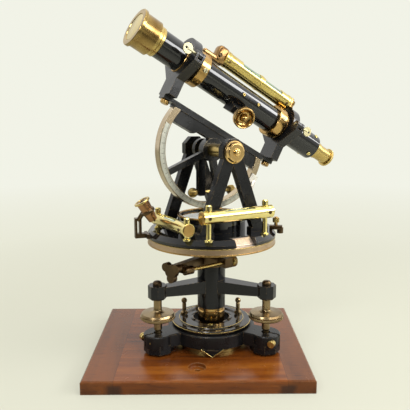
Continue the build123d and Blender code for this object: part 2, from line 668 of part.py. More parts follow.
def a_frame(side):
    low, high = sorted((side * FRAME_INNER_Y, side * FRAME_OUTER_Y))
    frame = upright(frame_outline(), low, high)
    return frame - rod((0, low - 1, TRUNNION_HEIGHT), (0, high + 1, TRUNNION_HEIGHT), TRUNNION_RADIUS + FIT)


def trunnion_caps():
    """A domed cap over the near bearing and a plain boss over the far one."""
    caps = []
    pocket = TRUNNION_RADIUS + 1
    for side, radius in ((1, CAP_DOME_RADIUS), (-1, CAP_FAR_RADIUS)):
        cap = turned((pocket, 0), (radius, 0), (radius, 1.8), (radius - 1.2, 2.6),
                     (radius - 2.2, CAP_DOME_THICK),
                     (radius - 3.2, CAP_DOME_THICK + 0.6), (3.8, CAP_DOME_THICK + 0.6),
                     (3.4, CAP_DOME_THICK + 2.2),
                     (2.2, CAP_DOME_THICK + 2.8), (0, CAP_DOME_THICK + 3), (0, 3), (pocket, 3))
        caps.append(Pos(0, side * FRAME_OUTER_Y, TRUNNION_HEIGHT) * Rot(-90 * side, 0, 0) * cap)
    return caps


# Reader
def reader_barrel():
    """The magnifier's outside and its bore, from the lower tip to the eye."""
    tip, full, eye = READER_TIP_RADIUS, READER_RADIUS, READER_EYE_RADIUS
    outside = turned((0, 0), (tip, 0), (full - 0.2, 9), (full + 0.4, 9.2), (full + 0.4, 13), (full, 13.2),
                     (full + 0.6, 22), (eye, 22.2), (eye, 23.4), (0, 23.4))
    bore = turned((0, -1), (tip - 1, -1), (tip, 20), (tip - 2, 20.5), (tip - 2, 24.5), (0, 24.5))
    place = Pos(*READER_LOW_END) * Rot(0, READER_TILT, 0)
    return place * outside, place * bore


def reader_arm():
    """A shoe on the rim of the upper plate, a slotted upright and the link to the magnifier."""
    base = VERNIER_PLATE_LOW + 2 * GAP
    top = base + READER_FOOT_RISE
    rim = VERNIER_PLATE_RADIUS + GAP
    inner, outer = READER_LOOP
    half = READER_BAR_WIDTH / 2
    shoe = turned((rim, base), (rim + READER_SHOE_THICK, base), (rim + READER_SHOE_THICK, top), (rim, top))
    shoe &= block((rim / 2, -READER_SHOE_WIDTH / 2, base), (outer, READER_SHOE_WIDTH / 2, top))
    foot = block((rim + READER_SHOE_THICK / 2, -half, base), (outer, half, top))
    upright_bar = block((inner, -half, top), (outer, half, READER_LOOP_TOP))
    upright_bar -= block((inner + READER_BAR, -half - 1, top),
                         (outer - READER_BAR, half + 1, READER_LOOP_TOP - READER_BAR))
    low_x, low_y, low_z = READER_LOW_END
    tilt = radians(READER_TILT)
    grip = (low_x + 15 * sin(tilt), low_y, low_z + 15 * cos(tilt))
    link = rod(((inner + outer) / 2, half / 2, READER_LOOP_TOP - READER_BAR), grip, READER_BAR)
    return around(READER_TURN, shoe + foot + upright_bar + (link - reader_barrel()[0]))


def reader_magnifier():
    outside, bore = reader_barrel()
    return around(READER_TURN, outside - bore)


# Slow motion of the vertical arc
def vertical_clamp_arm():
    low, high = CLAMP_ARM_Y - CLAMP_ARM_THICK / 2, CLAMP_ARM_Y + CLAMP_ARM_THICK / 2
    eye = SLEEVE_RADIUS + 4.5
    shape = Pos(0, TRUNNION_HEIGHT) * Circle(eye)
    half = CLAMP_ARM_WIDTH / 2
    shift = CLAMP_ARM_SHIFT
    shape += outlined((shift - half, TRUNNION_HEIGHT), (shift + half, TRUNNION_HEIGHT),
                      (shift + half, CLAMP_ARM_FOOT + 1.5),
                     (shift + half - 1.5, CLAMP_ARM_FOOT), (shift - half + 1.5, CLAMP_ARM_FOOT),
                     (shift - half, CLAMP_ARM_FOOT + 1.5))
    arm = upright(shape, low, high)
    arm -= rod((0, low - 1, TRUNNION_HEIGHT), (0, high + 1, TRUNNION_HEIGHT), SLEEVE_RADIUS + FIT)
    return arm - rod((-60, CLAMP_ARM_Y, VERTICAL_SCREW_Z), (60, CLAMP_ARM_Y, VERTICAL_SCREW_Z),
                     VERTICAL_SCREW_RADIUS + FIT)


def vertical_tangent_screw():
    """The tangent screw through the clamp arm's foot: a ball at one end, a milled head at the other."""
    level = VERTICAL_SCREW_Z
    right = CLAMP_ARM_SHIFT + CLAMP_ARM_WIDTH / 2
    left = -VERTICAL_SCREW_REACH
    screw = rod((left, CLAMP_ARM_Y, level), (right + 5, CLAMP_ARM_Y, level), VERTICAL_SCREW_RADIUS)
    ball = Pos(right + VERTICAL_BALL_RADIUS + GAP, CLAMP_ARM_Y, level) * Sphere(VERTICAL_BALL_RADIUS)
    head = rod((left - VERTICAL_KNOB_THICK, CLAMP_ARM_Y, level), (left, CLAMP_ARM_Y, level),
               VERTICAL_KNOB_RADIUS)
    return screw + ball + chamfer(head.edges().filter_by(GeomType.CIRCLE), 0.9)


# Vertical arc and wyes, in the telescope's frame
def trunnion_axle():
    end = FRAME_OUTER_Y + 2
    shoulder = FRAME_INNER_Y - GAP
    profile = turned((0, -end), (TRUNNION_RADIUS, -end), (TRUNNION_RADIUS, -shoulder),
                     (SLEEVE_RADIUS, -shoulder),
                     (SLEEVE_RADIUS, shoulder), (TRUNNION_RADIUS, shoulder), (TRUNNION_RADIUS, end), (0, end))
    return Rot(-90, 0, 0) * profile


def vertical_arc():
    rim_in = ARC_RADIUS - ARC_WIDTH
    far = ARC_NEAR_Y - ARC_THICK
    rim = Circle(ARC_RADIUS) - Circle(rim_in)
    rim -= Pos(0, WEB_HIGH + ARC_RADIUS) * Rectangle(3 * ARC_RADIUS, 2 * ARC_RADIUS)
    shape = upright(rim, far, ARC_NEAR_Y)
    reach = sqrt(rim_in ** 2 - WEB_LOW ** 2) + 1
    high_reach = sqrt(rim_in ** 2 - WEB_HIGH ** 2) + 1
    web = outlined((-high_reach, WEB_HIGH), (high_reach, WEB_HIGH), (reach, WEB_LOW), (29, WEB_LOW),
                   (25, WEB_LOW + 4),
                  (-25, WEB_LOW + 4), (-29, WEB_LOW), (-reach, WEB_LOW))
    shape += upright(web, far + 1, ARC_NEAR_Y - 1)
    shape += upright(Circle(ARC_HUB_RADIUS), far, ARC_NEAR_Y)
    for angle in SPOKE_ANGLES:
        spoke = Rot(0, 0, angle) * (Pos((ARC_HUB_RADIUS + rim_in) / 2 - 1, 0)
                                    * Rectangle(rim_in - ARC_HUB_RADIUS + 4, SPOKE_WIDTH))
        shape += upright(spoke, far + 1.5, ARC_NEAR_Y - 1.5)
    return shape - rod((0, far - 1, 0), (0, ARC_NEAR_Y + 1, 0), SLEEVE_RADIUS)


def arc_scale():
    band = Circle(ARC_RADIUS - 0.8) - Circle(ARC_RADIUS - ARC_WIDTH + 0.8)
    band -= Pos(0, ARC_RADIUS) * Rectangle(3 * ARC_RADIUS, 2 * ARC_RADIUS)
    return upright(band, ARC_NEAR_Y, ARC_NEAR_Y + ARC_SCALE_THICK)


def vertical_vernier():
    """The silvered index on its bracket, close to the arc's near face."""
    low = ARC_NEAR_Y + ARC_SCALE_THICK + GAP
    outer = ARC_RADIUS - ARC_WIDTH / 2
    sector = Circle(outer + 5) - Circle(outer - 3)
    keep = Rot(0, 0, 216) * (Pos(outer, 0) * Rectangle(22, 14))
    index = upright(Pos(0, TRUNNION_HEIGHT) * (sector & keep), low, low + 2)
    reach, turn = outer + 3.5, radians(216)
    foot = (reach * cos(turn), low + 1, TRUNNION_HEIGHT + reach * sin(turn))
    strut = rod((foot[0], low + 1.5, foot[2]), (-FRAME_SPREAD + 8, FRAME_INNER_Y, foot[2] - 8), 1.9)
    return index + (strut - a_frame(1))


def wye_bar():
    end = WYE_REACH - WYE_THICK
    outline = outlined((-end, WEB_HIGH), (end, WEB_HIGH), (end, WEB_HIGH + 2), (BAR_END, WEB_HIGH + 2),
                       (BAR_END, BAR_HIGH),
                      (-BAR_END, BAR_HIGH), (-BAR_END, WEB_HIGH + 2), (-end, WEB_HIGH + 2))
    return upright(outline, ARC_NEAR_Y - BAR_WIDTH, ARC_NEAR_Y)


def across_tube(outline, centre, thickness):
    """An outline in the YZ plane, given thickness along X about a centre."""
    face = Plane(origin=(centre - thickness / 2, 0, 0), x_dir=(0, 1, 0), z_dir=(1, 0, 0))
    return face * extrude(outline, thickness)


def wye(side):
    centre = side * WYE_REACH
    half = WYE_STEM_WIDTH / 2
    outer = PIN_Y + EAR_RADIUS
    shape = outlined((-half, BAR_HIGH), (half, BAR_HIGH), (half, WYE_STEM_TOP), (outer, TUBE_RISE - 4.5),
                     (outer, TUBE_RISE),
                    (-outer, TUBE_RISE), (-outer, TUBE_RISE - 4.5), (-half, WYE_STEM_TOP))
    for y in (-PIN_Y, PIN_Y):
        shape += Pos(y, PIN_LEVEL) * Circle(EAR_RADIUS)
        shape += Pos(y, PIN_LEVEL - EAR_RADIUS / 2) * Rectangle(2 * EAR_RADIUS, EAR_RADIUS)
    body = across_tube(shape - Pos(0, TUBE_RISE) * Circle(WYE_BORE), centre, WYE_THICK)
    for y in (-1, 1):
        fork_in = PIN_Y - EAR_RADIUS - GAP
        fork = sorted((y * fork_in, y * (outer + 1)))
        body -= block((centre - FORK_WIDTH / 2, fork[0], PIN_LEVEL - EAR_RADIUS - GAP),
                      (centre + FORK_WIDTH / 2, fork[1], PIN_LEVEL + 2 * EAR_RADIUS))
        body -= rod((centre - WYE_THICK, y * PIN_Y, PIN_LEVEL), (centre + WYE_THICK, y * PIN_Y, PIN_LEVEL),
                    PIN_RADIUS + FIT)
    return body


def wye_nuts():
    nuts = []
    for side in (-1, 1):
        nuts.append(Pos(side * WYE_REACH, ARC_NEAR_Y - ARC_THICK / 2, WEB_HIGH + 2 - 4.5) * turned(
            (0, 0), (NUT_RADIUS - 1, 0), (NUT_RADIUS, 1), (NUT_RADIUS, 3.5), (NUT_RADIUS - 1, 4.5), (0, 4.5)))
    return nuts


def clip(side):
    """The clip over the tube: it hinges in the far fork and is pinned in the near one."""
    centre = side * WYE_REACH
    inner, outer = WYE_BORE + GAP, WYE_BORE + CLIP_WALL
    band = Pos(0, TUBE_RISE) * (Circle(outer) - Circle(inner))
    band -= Pos(0, TUBE_RISE + GAP - 2 * outer) * Rectangle(4 * outer, 4 * outer)
    body = across_tube(band, centre, WYE_THICK - 0.6)
    tongue_radius = EAR_RADIUS - 0.3
    tongue = outlined((-PIN_Y, PIN_LEVEL - tongue_radius), (-inner - 2, TUBE_RISE + GAP + 0.1),
                      (-inner - 2, PIN_LEVEL + 6),
                     (-PIN_Y, PIN_LEVEL + tongue_radius))
    tongues = tongue + Pos(-PIN_Y, PIN_LEVEL) * Circle(tongue_radius)
    tongues -= Pos(0, TUBE_RISE + GAP - 10) * Rectangle(2 * (PIN_Y - EAR_RADIUS - GAP), 20)
    tongues += mirror(tongues, Plane.YZ)
    body += across_tube(tongues, centre, FORK_WIDTH - 2 * GAP)
    body -= rod((centre - WYE_THICK, PIN_Y, PIN_LEVEL), (centre + WYE_THICK, PIN_Y, PIN_LEVEL),
                PIN_RADIUS + FIT)
    body += rod((centre - WYE_THICK / 2, -PIN_Y, PIN_LEVEL), (centre + WYE_THICK / 2, -PIN_Y, PIN_LEVEL),
                PIN_RADIUS)
    return body


def clip_pin(side):
    """The pin with its finger tab, which draws out along the tube."""
    centre = side * WYE_REACH
    start = centre - side * (WYE_THICK / 2 + 1)
    tab = side * TAB_REACH
    pin = rod((start, PIN_Y, PIN_LEVEL), (tab, PIN_Y, PIN_LEVEL), PIN_RADIUS)
    tab_disc = rod((tab, PIN_Y - TAB_THICK / 2, PIN_LEVEL), (tab, PIN_Y + TAB_THICK / 2, PIN_LEVEL),
                   TAB_RADIUS)
    tab_disc -= rod((tab + side * 2, PIN_Y - TAB_THICK, PIN_LEVEL),
                    (tab + side * 2, PIN_Y + TAB_THICK, PIN_LEVEL), 1.3)
    return pin + tab_disc


# Telescope, along X from its own axis
def focus_axis():
    drop = radians(FOCUS_AXIS_DROP)
    along = Vector(0, cos(drop), -sin(drop))
    offset = Vector(0, -sin(drop), -cos(drop)) * FOCUS_AXIS_OFFSET
    return Vector(FOCUS_X, 0, 0) + offset, along


def on_focus_axis(distance):
    start, along = focus_axis()
    return tuple(start + along * distance)


def main_tube():
    low, high = TUBE_ENDS
    tube = turned_along_x((low, TUBE_BORE), (low, TUBE_RADIUS), (high, TUBE_RADIUS), (high, TUBE_BORE))
    end_plate = turned_along_x((low - 2, EYE_TUBE_RADIUS + FIT), (low - 2, TUBE_RADIUS), (low, TUBE_RADIUS),
                               (low, EYE_TUBE_RADIUS + FIT))
    return tube + end_plate - rod(on_focus_axis(0), on_focus_axis(40), FOCUS_STEM_RADIUS + FIT)


def band(ends, radius, edge):
    low, high = ends
    return turned_along_x((low, TUBE_RADIUS), (low, radius - edge), (low + edge, radius),
                          (high - edge, radius),
                          (high, radius - edge), (high, TUBE_RADIUS))


def telescope_collars():
    half = WYE_THICK / 2 + 1
    wide = [band(ends, COLLAR_BAND_RADIUS, 0.8) for ends in (OBJECT_COLLAR, EYE_COLLAR)]
    rings = [band((side * WYE_REACH - half, side * WYE_REACH + half), WYE_RING_RADIUS, 0.3) for side in (-1,
                                                                                                         1)]
    return wide + rings


def telescope_level():
    return Pos(0, 0, MAIN_LEVEL_RISE) * level_case(MAIN_LEVEL_ENDS, MAIN_LEVEL_RADIUS, MAIN_LEVEL_BORE,
                                                   MAIN_LEVEL_WINDOWS,
                                                     MAIN_LEVEL_RADIUS)


def telescope_level_vial():
    return Pos(0, 0, MAIN_LEVEL_RISE) * level_vial(MAIN_LEVEL_ENDS, MAIN_LEVEL_BORE)


def level_mounts():
    """The block at the object end, and the post with its adjusting nut at the eye end."""
    low, high = BRACKET_ENDS
    rise = MAIN_LEVEL_RISE
    lip = MAIN_LEVEL_RADIUS
    foot_end = OBJECT_COLLAR[1]
    bracket = block((MAIN_LEVEL_ENDS[1] - 3, -6, rise - 10), (high, 6, rise + BRACKET_RISE))
    bracket -= rod((low - 8, 0, rise), (MAIN_LEVEL_ENDS[1], 0, rise), lip)
    bracket += block((high - 6, -6, 12), (foot_end - 2, 6, rise - 4))
    bracket = bracket - rod((0, 0, 0), (OBJECT_COLLAR[0], 0, 0), TUBE_RADIUS)
    bracket -= rod((OBJECT_COLLAR[0], 0, 0), (foot_end, 0, 0), COLLAR_BAND_RADIUS)
    return [bracket, level_tongue()]


def level_tongue():
    """The tongue on the level's eye end, held between two capstan nuts on an upright screw."""
    eye = MAIN_LEVEL_ENDS[0]
    middle = eye - LEVEL_NUT_RADIUS
    half = LEVEL_TONGUE_THICK / 2
    tongue = block((middle, -LEVEL_NUT_RADIUS + 1, -half), (eye, LEVEL_NUT_RADIUS - 1, half))
    low = WYE_BORE + CLIP_WALL + 2 * GAP - MAIN_LEVEL_RISE
    nuts = turned((0, low), (LEVEL_NUT_RADIUS, low), (LEVEL_NUT_RADIUS, -half), (LEVEL_NUT_RADIUS - 1, -half),
                  (LEVEL_NUT_RADIUS - 1, half), (LEVEL_NUT_RADIUS, half), (LEVEL_NUT_RADIUS, half + 4),
                  (LEVEL_NUT_RADIUS - 1.2, half + 5), (2.4, half + 5), (2.4, half + 7), (0, half + 8))
    return Pos(0, 0, MAIN_LEVEL_RISE) * (tongue + Pos(middle, 0, 0) * nuts)


def focus_box():
    """The saddle under the tube that carries the pinion."""
    half = FOCUS_BOX_LENGTH / 2
    start, along = focus_axis()
    face = Plane(origin=start + along * 8, x_dir=(1, 0, 0), z_dir=along)
    saddle = face * extrude(Rectangle(FOCUS_BOX_LENGTH, 13) , 13, taper=12)
    saddle -= rod((FOCUS_X - half - 1, 0, 0), (FOCUS_X + half + 1, 0, 0), TUBE_RADIUS)
    return saddle - rod(on_focus_axis(0), on_focus_axis(40), FOCUS_STEM_RADIUS + FIT)


def focus_knob():
    start, along = focus_axis()
    inner = FOCUS_KNOB_OUT - FOCUS_KNOB_THICK / 2
    radius = FOCUS_KNOB_RADIUS
    knob = turned((0, 21.3), (4, 21.3), (4, inner), (radius - 2.5, inner), (radius, inner + 1.2),
                  (radius, inner + 6),
                  (radius - 1, inner + 7), (radius - 2, inner + 7), (radius - 4, inner + 5),
                  (4.4, inner + 4.4),
                  (3.8, inner + 7.5), (2.4, inner + FOCUS_KNOB_THICK), (0, inner + FOCUS_KNOB_THICK + 0.5))
    pinion_end = -1.8
    stem = turned((0, pinion_end), (FOCUS_STEM_RADIUS, pinion_end), (FOCUS_STEM_RADIUS, 22), (0, 22))
    return Plane(origin=start, z_dir=along) * (knob + stem)


def draw_tube():
    front = TUBE_ENDS[1] + GAP
    ring = front + DRAW_RING_LENGTH
    cell = ring + CELL_LENGTH
    tube = turned_along_x((DRAW_BACK, DRAW_BORE), (DRAW_BACK, DRAW_RADIUS), (front, DRAW_RADIUS),
                          (front, DRAW_RING_RADIUS - 0.6), (front + 0.6, DRAW_RING_RADIUS),
                          (front + 3, DRAW_RING_RADIUS),
                          (front + 3.4, DRAW_RING_RADIUS - 0.7), (front + 3.8, DRAW_RING_RADIUS),
                          (ring, DRAW_RING_RADIUS),
                          (ring, CELL_RADIUS), (cell, CELL_RADIUS), (cell, DRAW_BORE))
    gap_to_rack = FOCUS_AXIS_OFFSET - FOCUS_STEM_RADIUS - GAP
    rack = block((FOCUS_X - FOCUS_TRAVEL - 8, -1.5, -gap_to_rack), (DRAW_BACK + 6, 1.5, -gap_to_rack + 3))
    rack += block((DRAW_BACK, -1.5, -DRAW_BORE - 0.5), (DRAW_BACK + 6, 1.5, -gap_to_rack + 1))
    return tube + Rot(-FOCUS_AXIS_DROP, 0, 0) * rack


def objective_lens():
    low = TUBE_ENDS[1] + GAP + DRAW_RING_LENGTH + CELL_LENGTH / 2
    return turned_along_x((low, 0), (low - 2, 0), (low, DRAW_BORE), (low + 2, DRAW_BORE), (low + 4, 0))


def objective_cap():
    ring = TUBE_ENDS[1] + GAP + DRAW_RING_LENGTH
    cell = ring + CELL_LENGTH
    bore = CELL_RADIUS + FIT
    rim = cell + LENS_CAP_THICK
    return turned_along_x((ring + GAP, bore), (ring + GAP, LENS_CAP_RADIUS), (cell - 1.5, LENS_CAP_RADIUS),
                          (cell - 0.8, LENS_CAP_RIM), (rim - 0.6, LENS_CAP_RIM), (rim, LENS_CAP_RIM - 0.6),
                          (rim, CELL_RADIUS - 2), (rim - 0.8, CELL_RADIUS - 2.6), (rim - 0.8, 0),
                          (cell + 0.4, 0),
                          (cell + 0.4, bore))


def eyepiece():
    low = TUBE_ENDS[0] - 2
    back = low - EYE_BARREL_LENGTH
    rim = back - EYE_RIM_THICK
    eye_hole = EYE_TUBE_RADIUS / 3
    return turned_along_x((rim, eye_hole), (rim, EYE_RIM_RADIUS - 0.8), (rim + 0.8, EYE_RIM_RADIUS),
                          (back, EYE_RIM_RADIUS), (back, EYE_BARREL_RADIUS - 1),
                          (low - 10, EYE_BARREL_RADIUS - 1),
                          (low - 9, EYE_BARREL_RADIUS), (low - GAP, EYE_BARREL_RADIUS),
                          (low - GAP, EYE_TUBE_RADIUS),
                          (low + 16, EYE_TUBE_RADIUS), (low + 16, EYE_TUBE_RADIUS - 1.5),
                          (back, EYE_TUBE_RADIUS - 1.5),
                          (back, eye_hole))


# Every piece with its place
FIXED = Location()
PIECES = {
    "case_board": (FIXED, case_board()),
    "foot_flange": (FIXED, foot_flange()),
    "foot_plate": (FIXED, foot_plate()),
    "base_screws": (FIXED, base_screws()),
    "shifting_ring": (FIXED, shifting_ring()),
    "ball_posts": (FIXED, ball_posts()),
    "spindle_seat": (FIXED, spindle_seat()),
    "tribrach": (FIXED, tribrach()),
    "dust_caps": (FIXED, dust_caps()),
    "foot_screw_left": (FIXED, foot_screw(LOBE_ANGLES[0])),
    "foot_screw_right": (FIXED, foot_screw(LOBE_ANGLES[1])),
    "foot_screw_back": (FIXED, foot_screw(LOBE_ANGLES[2])),
    "lower_collar": (FIXED, lower_collar()),
    "lower_clamp_screw": (FIXED, lower_clamp_screw()),
    "lower_tangent_screw": (FIXED, lower_tangent_screw()),
    "outer_spindle": (FIXED, outer_spindle()),
    "horizontal_limb": (FIXED, horizontal_limb()),
    "limb_scale": (FIXED, limb_scale()),
    "inner_spindle": (FIXED, inner_spindle()),
    "vernier_plate": (ALIDADE, vernier_plate()),
    "verniers": (ALIDADE, verniers()),
    "compass_box": (ALIDADE, compass_box()),
    "compass_dial": (ALIDADE, compass_dial()),
    "compass_glass": (ALIDADE, compass_glass()),
    "compass_needle": (ALIDADE, compass_needle()),
    "front_level": (ALIDADE, front_level()),
    "front_level_vial": (ALIDADE, front_level_vial()),
    "side_level": (ALIDADE, side_level()),
    "side_level_vial": (ALIDADE, side_level_vial()),
    "level_posts": (ALIDADE, level_posts()),
    "near_a_frame": (ALIDADE, a_frame(1)),
    "far_a_frame": (ALIDADE, a_frame(-1)),
    "trunnion_caps": (ALIDADE, trunnion_caps()),
    "reader_arm": (ALIDADE, reader_arm()),
    "reader_magnifier": (ALIDADE, reader_magnifier()),
    "vertical_clamp_arm": (ALIDADE, vertical_clamp_arm()),
    "vertical_tangent_screw": (ALIDADE, vertical_tangent_screw()),
    "vertical_vernier": (ALIDADE, vertical_vernier()),
    "trunnion_axle": (TELESCOPE, trunnion_axle()),
    "vertical_arc": (TELESCOPE, vertical_arc()),
    "arc_scale": (TELESCOPE, arc_scale()),
    "wye_bar": (TELESCOPE, wye_bar()),
    "objective_wye": (TELESCOPE, wye(1)),
    "eyepiece_wye": (TELESCOPE, wye(-1)),
    "wye_nuts": (TELESCOPE, wye_nuts()),
    "objective_clip": (TELESCOPE, clip(1)),
    "eyepiece_clip": (TELESCOPE, clip(-1)),
    "objective_pin": (TELESCOPE, clip_pin(1)),
    "eyepiece_pin": (TELESCOPE, clip_pin(-1)),
    "main_tube": (TUBE, main_tube()),
    "telescope_collars": (TUBE, telescope_collars()),
    "telescope_level": (TUBE, telescope_level()),
    "telescope_level_vial": (TUBE, telescope_level_vial()),
    "level_mounts": (TUBE, level_mounts()),
    "focus_box": (TUBE, focus_box()),
    "focus_knob": (TUBE, focus_knob()),
    "draw_tube": (TUBE, draw_tube()),
    "objective_lens": (TUBE, objective_lens()),
    "objective_cap": (TUBE, objective_cap()),
    "eyepiece": (TUBE, eyepiece()),
}

os.makedirs("parts", exist_ok=True)
for name, (place, shape) in PIECES.items():
    solids = shape if isinstance(shape, list) else [shape]
    placed = Compound(children=[place * solid for solid in solids]) if len(solids) > 1 else place * solids[0]
    placed.label = name
    export_step(placed, f"parts/{name}.step")
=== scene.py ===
import json
from math import atan2, cos, hypot, pi, radians, sin, sqrt

import bmesh
import bpy
from mathutils import Matrix, Vector

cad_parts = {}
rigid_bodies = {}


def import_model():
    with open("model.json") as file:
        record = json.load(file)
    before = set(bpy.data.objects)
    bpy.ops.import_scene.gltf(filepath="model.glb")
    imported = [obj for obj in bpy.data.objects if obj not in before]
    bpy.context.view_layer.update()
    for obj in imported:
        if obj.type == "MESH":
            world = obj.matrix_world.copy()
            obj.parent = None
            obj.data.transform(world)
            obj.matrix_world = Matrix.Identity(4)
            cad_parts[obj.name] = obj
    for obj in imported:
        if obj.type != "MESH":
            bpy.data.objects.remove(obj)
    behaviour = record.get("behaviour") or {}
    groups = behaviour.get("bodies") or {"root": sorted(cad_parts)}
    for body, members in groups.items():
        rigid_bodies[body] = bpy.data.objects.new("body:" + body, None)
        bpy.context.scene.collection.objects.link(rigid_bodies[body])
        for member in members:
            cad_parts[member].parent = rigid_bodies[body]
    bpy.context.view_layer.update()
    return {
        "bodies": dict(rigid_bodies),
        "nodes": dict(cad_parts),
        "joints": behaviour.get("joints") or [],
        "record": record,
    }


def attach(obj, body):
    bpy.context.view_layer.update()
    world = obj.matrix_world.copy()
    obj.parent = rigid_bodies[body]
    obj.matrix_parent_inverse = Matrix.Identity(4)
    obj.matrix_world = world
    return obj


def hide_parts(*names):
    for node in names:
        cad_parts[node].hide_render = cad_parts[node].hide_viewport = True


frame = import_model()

MM = 0.001
NODES = frame["nodes"]

# The photograph's camera, found from the board and the circles of the instrument
IMAGE_WIDTH = 410
FOCAL_PIXELS = 536.76
CAMERA_PLACE = Vector((-14.55, -580.53, 267.12)) * MM
CAMERA_PITCH = radians(9.591)
CAMERA_YAW = radians(0.7367)

# Places taken from the instrument's frame, in millimetres
ALIDADE_TURN = radians(209)
TELESCOPE_TILT = radians(28.5)
TRUNNION_HEIGHT = 229.5
TUBE_RISE = 65.0
ALIDADE = Matrix.Rotation(ALIDADE_TURN, 4, "Z")
TELESCOPE = (ALIDADE @ Matrix.Translation((0, 0, TRUNNION_HEIGHT * MM))
             @ Matrix.Rotation(-TELESCOPE_TILT, 4, "Y"))
TUBE = TELESCOPE @ Matrix.Translation((0, 0, TUBE_RISE * MM))

# Colours of the finishes, as light linear values
PAPER_FAR = (0.885, 0.895, 0.80)
PAPER_NEAR = (0.79, 0.785, 0.64)
PAPER_BASE = (0.44, 0.44, 0.365)
# painted shade: the floor's near-black base on the camera's side, standing in for a dark room in reflections and
# bounced light
PAINTED_SHADE_FLOOR = (0.04, 0.04, 0.036)
BRASS = (0.56, 0.42, 0.15)
BRASS_BROWN = (0.30, 0.195, 0.055)
LEVEL_BRASS = (0.78, 0.66, 0.27)
LEVEL_BROWN = (0.45, 0.33, 0.10)
COPPER_BRASS = (0.50, 0.32, 0.115)
COPPER_BROWN = (0.20, 0.105, 0.03)
BRONZE = (0.33, 0.25, 0.135)
BRONZE_BROWN = (0.14, 0.085, 0.035)
LIMB_BRONZE = (0.48, 0.345, 0.225)
LIMB_BROWN = (0.26, 0.165, 0.09)
DARK_BRONZE = (0.13, 0.085, 0.042)
DARK_PATINA = (0.045, 0.030, 0.018)
PALE_BRASS = (0.43, 0.395, 0.25)
DULL_COPPER = (0.32, 0.17, 0.075)
DULL_BROWN = (0.12, 0.055, 0.022)
BROWNED_BRASS = (0.42, 0.265, 0.105)
LACQUER = (0.0050, 0.0052, 0.0058)
LACQUER_SHEEN = (0.009, 0.009, 0.009)
BARE_METAL = (0.40, 0.27, 0.12)
SILVER = (0.80, 0.77, 0.70)
SILVER_DULL = (0.50, 0.44, 0.36)
ENGRAVING = (0.03, 0.025, 0.02)
PINK_SILVER = (0.88, 0.70, 0.56)
PINK_DULL = (0.60, 0.42, 0.30)
CAP_BRASS = (0.52, 0.37, 0.13)
CAP_BROWN = (0.15, 0.085, 0.025)
PALE_GOLD = (0.62, 0.52, 0.27)
LEVEL_GOLD = (0.58, 0.46, 0.15)
GOLD_COPPER = (0.74, 0.50, 0.20)
WOOD_RED = (0.150, 0.040, 0.005)
WOOD_DARK = (0.050, 0.012, 0.003)
WOOD_GOLD = (0.26, 0.085, 0.010)
WOOD_CLAMP = (0.115, 0.034, 0.006)
BOARD_MIDDLE = -12.5        # between the two seams of the board's end clamps, along X
CLAMP_SEAM = 84.5           # from there to each seam


# Camera, light and ground
def add_camera():
    turn = (pi / 2 - CAMERA_PITCH, 0, -CAMERA_YAW)
    bpy.ops.object.camera_add(location=CAMERA_PLACE, rotation=turn)
    camera = bpy.context.object
    camera.data.sensor_width = 36
    camera.data.lens = FOCAL_PIXELS / IMAGE_WIDTH * camera.data.sensor_width
    camera.data.clip_start = 0.01
    bpy.context.scene.camera = camera


def add_lamp(name, place, target, size, watts):
    aim = (Vector(target) - Vector(place)).to_track_quat("-Z", "Y").to_euler()
    bpy.ops.object.light_add(type="AREA", location=place, rotation=aim)
    lamp = bpy.context.object
    lamp.name = name
    lamp.data.shape = "RECTANGLE"
    lamp.data.size, lamp.data.size_y = size
    lamp.data.energy = watts
    return lamp


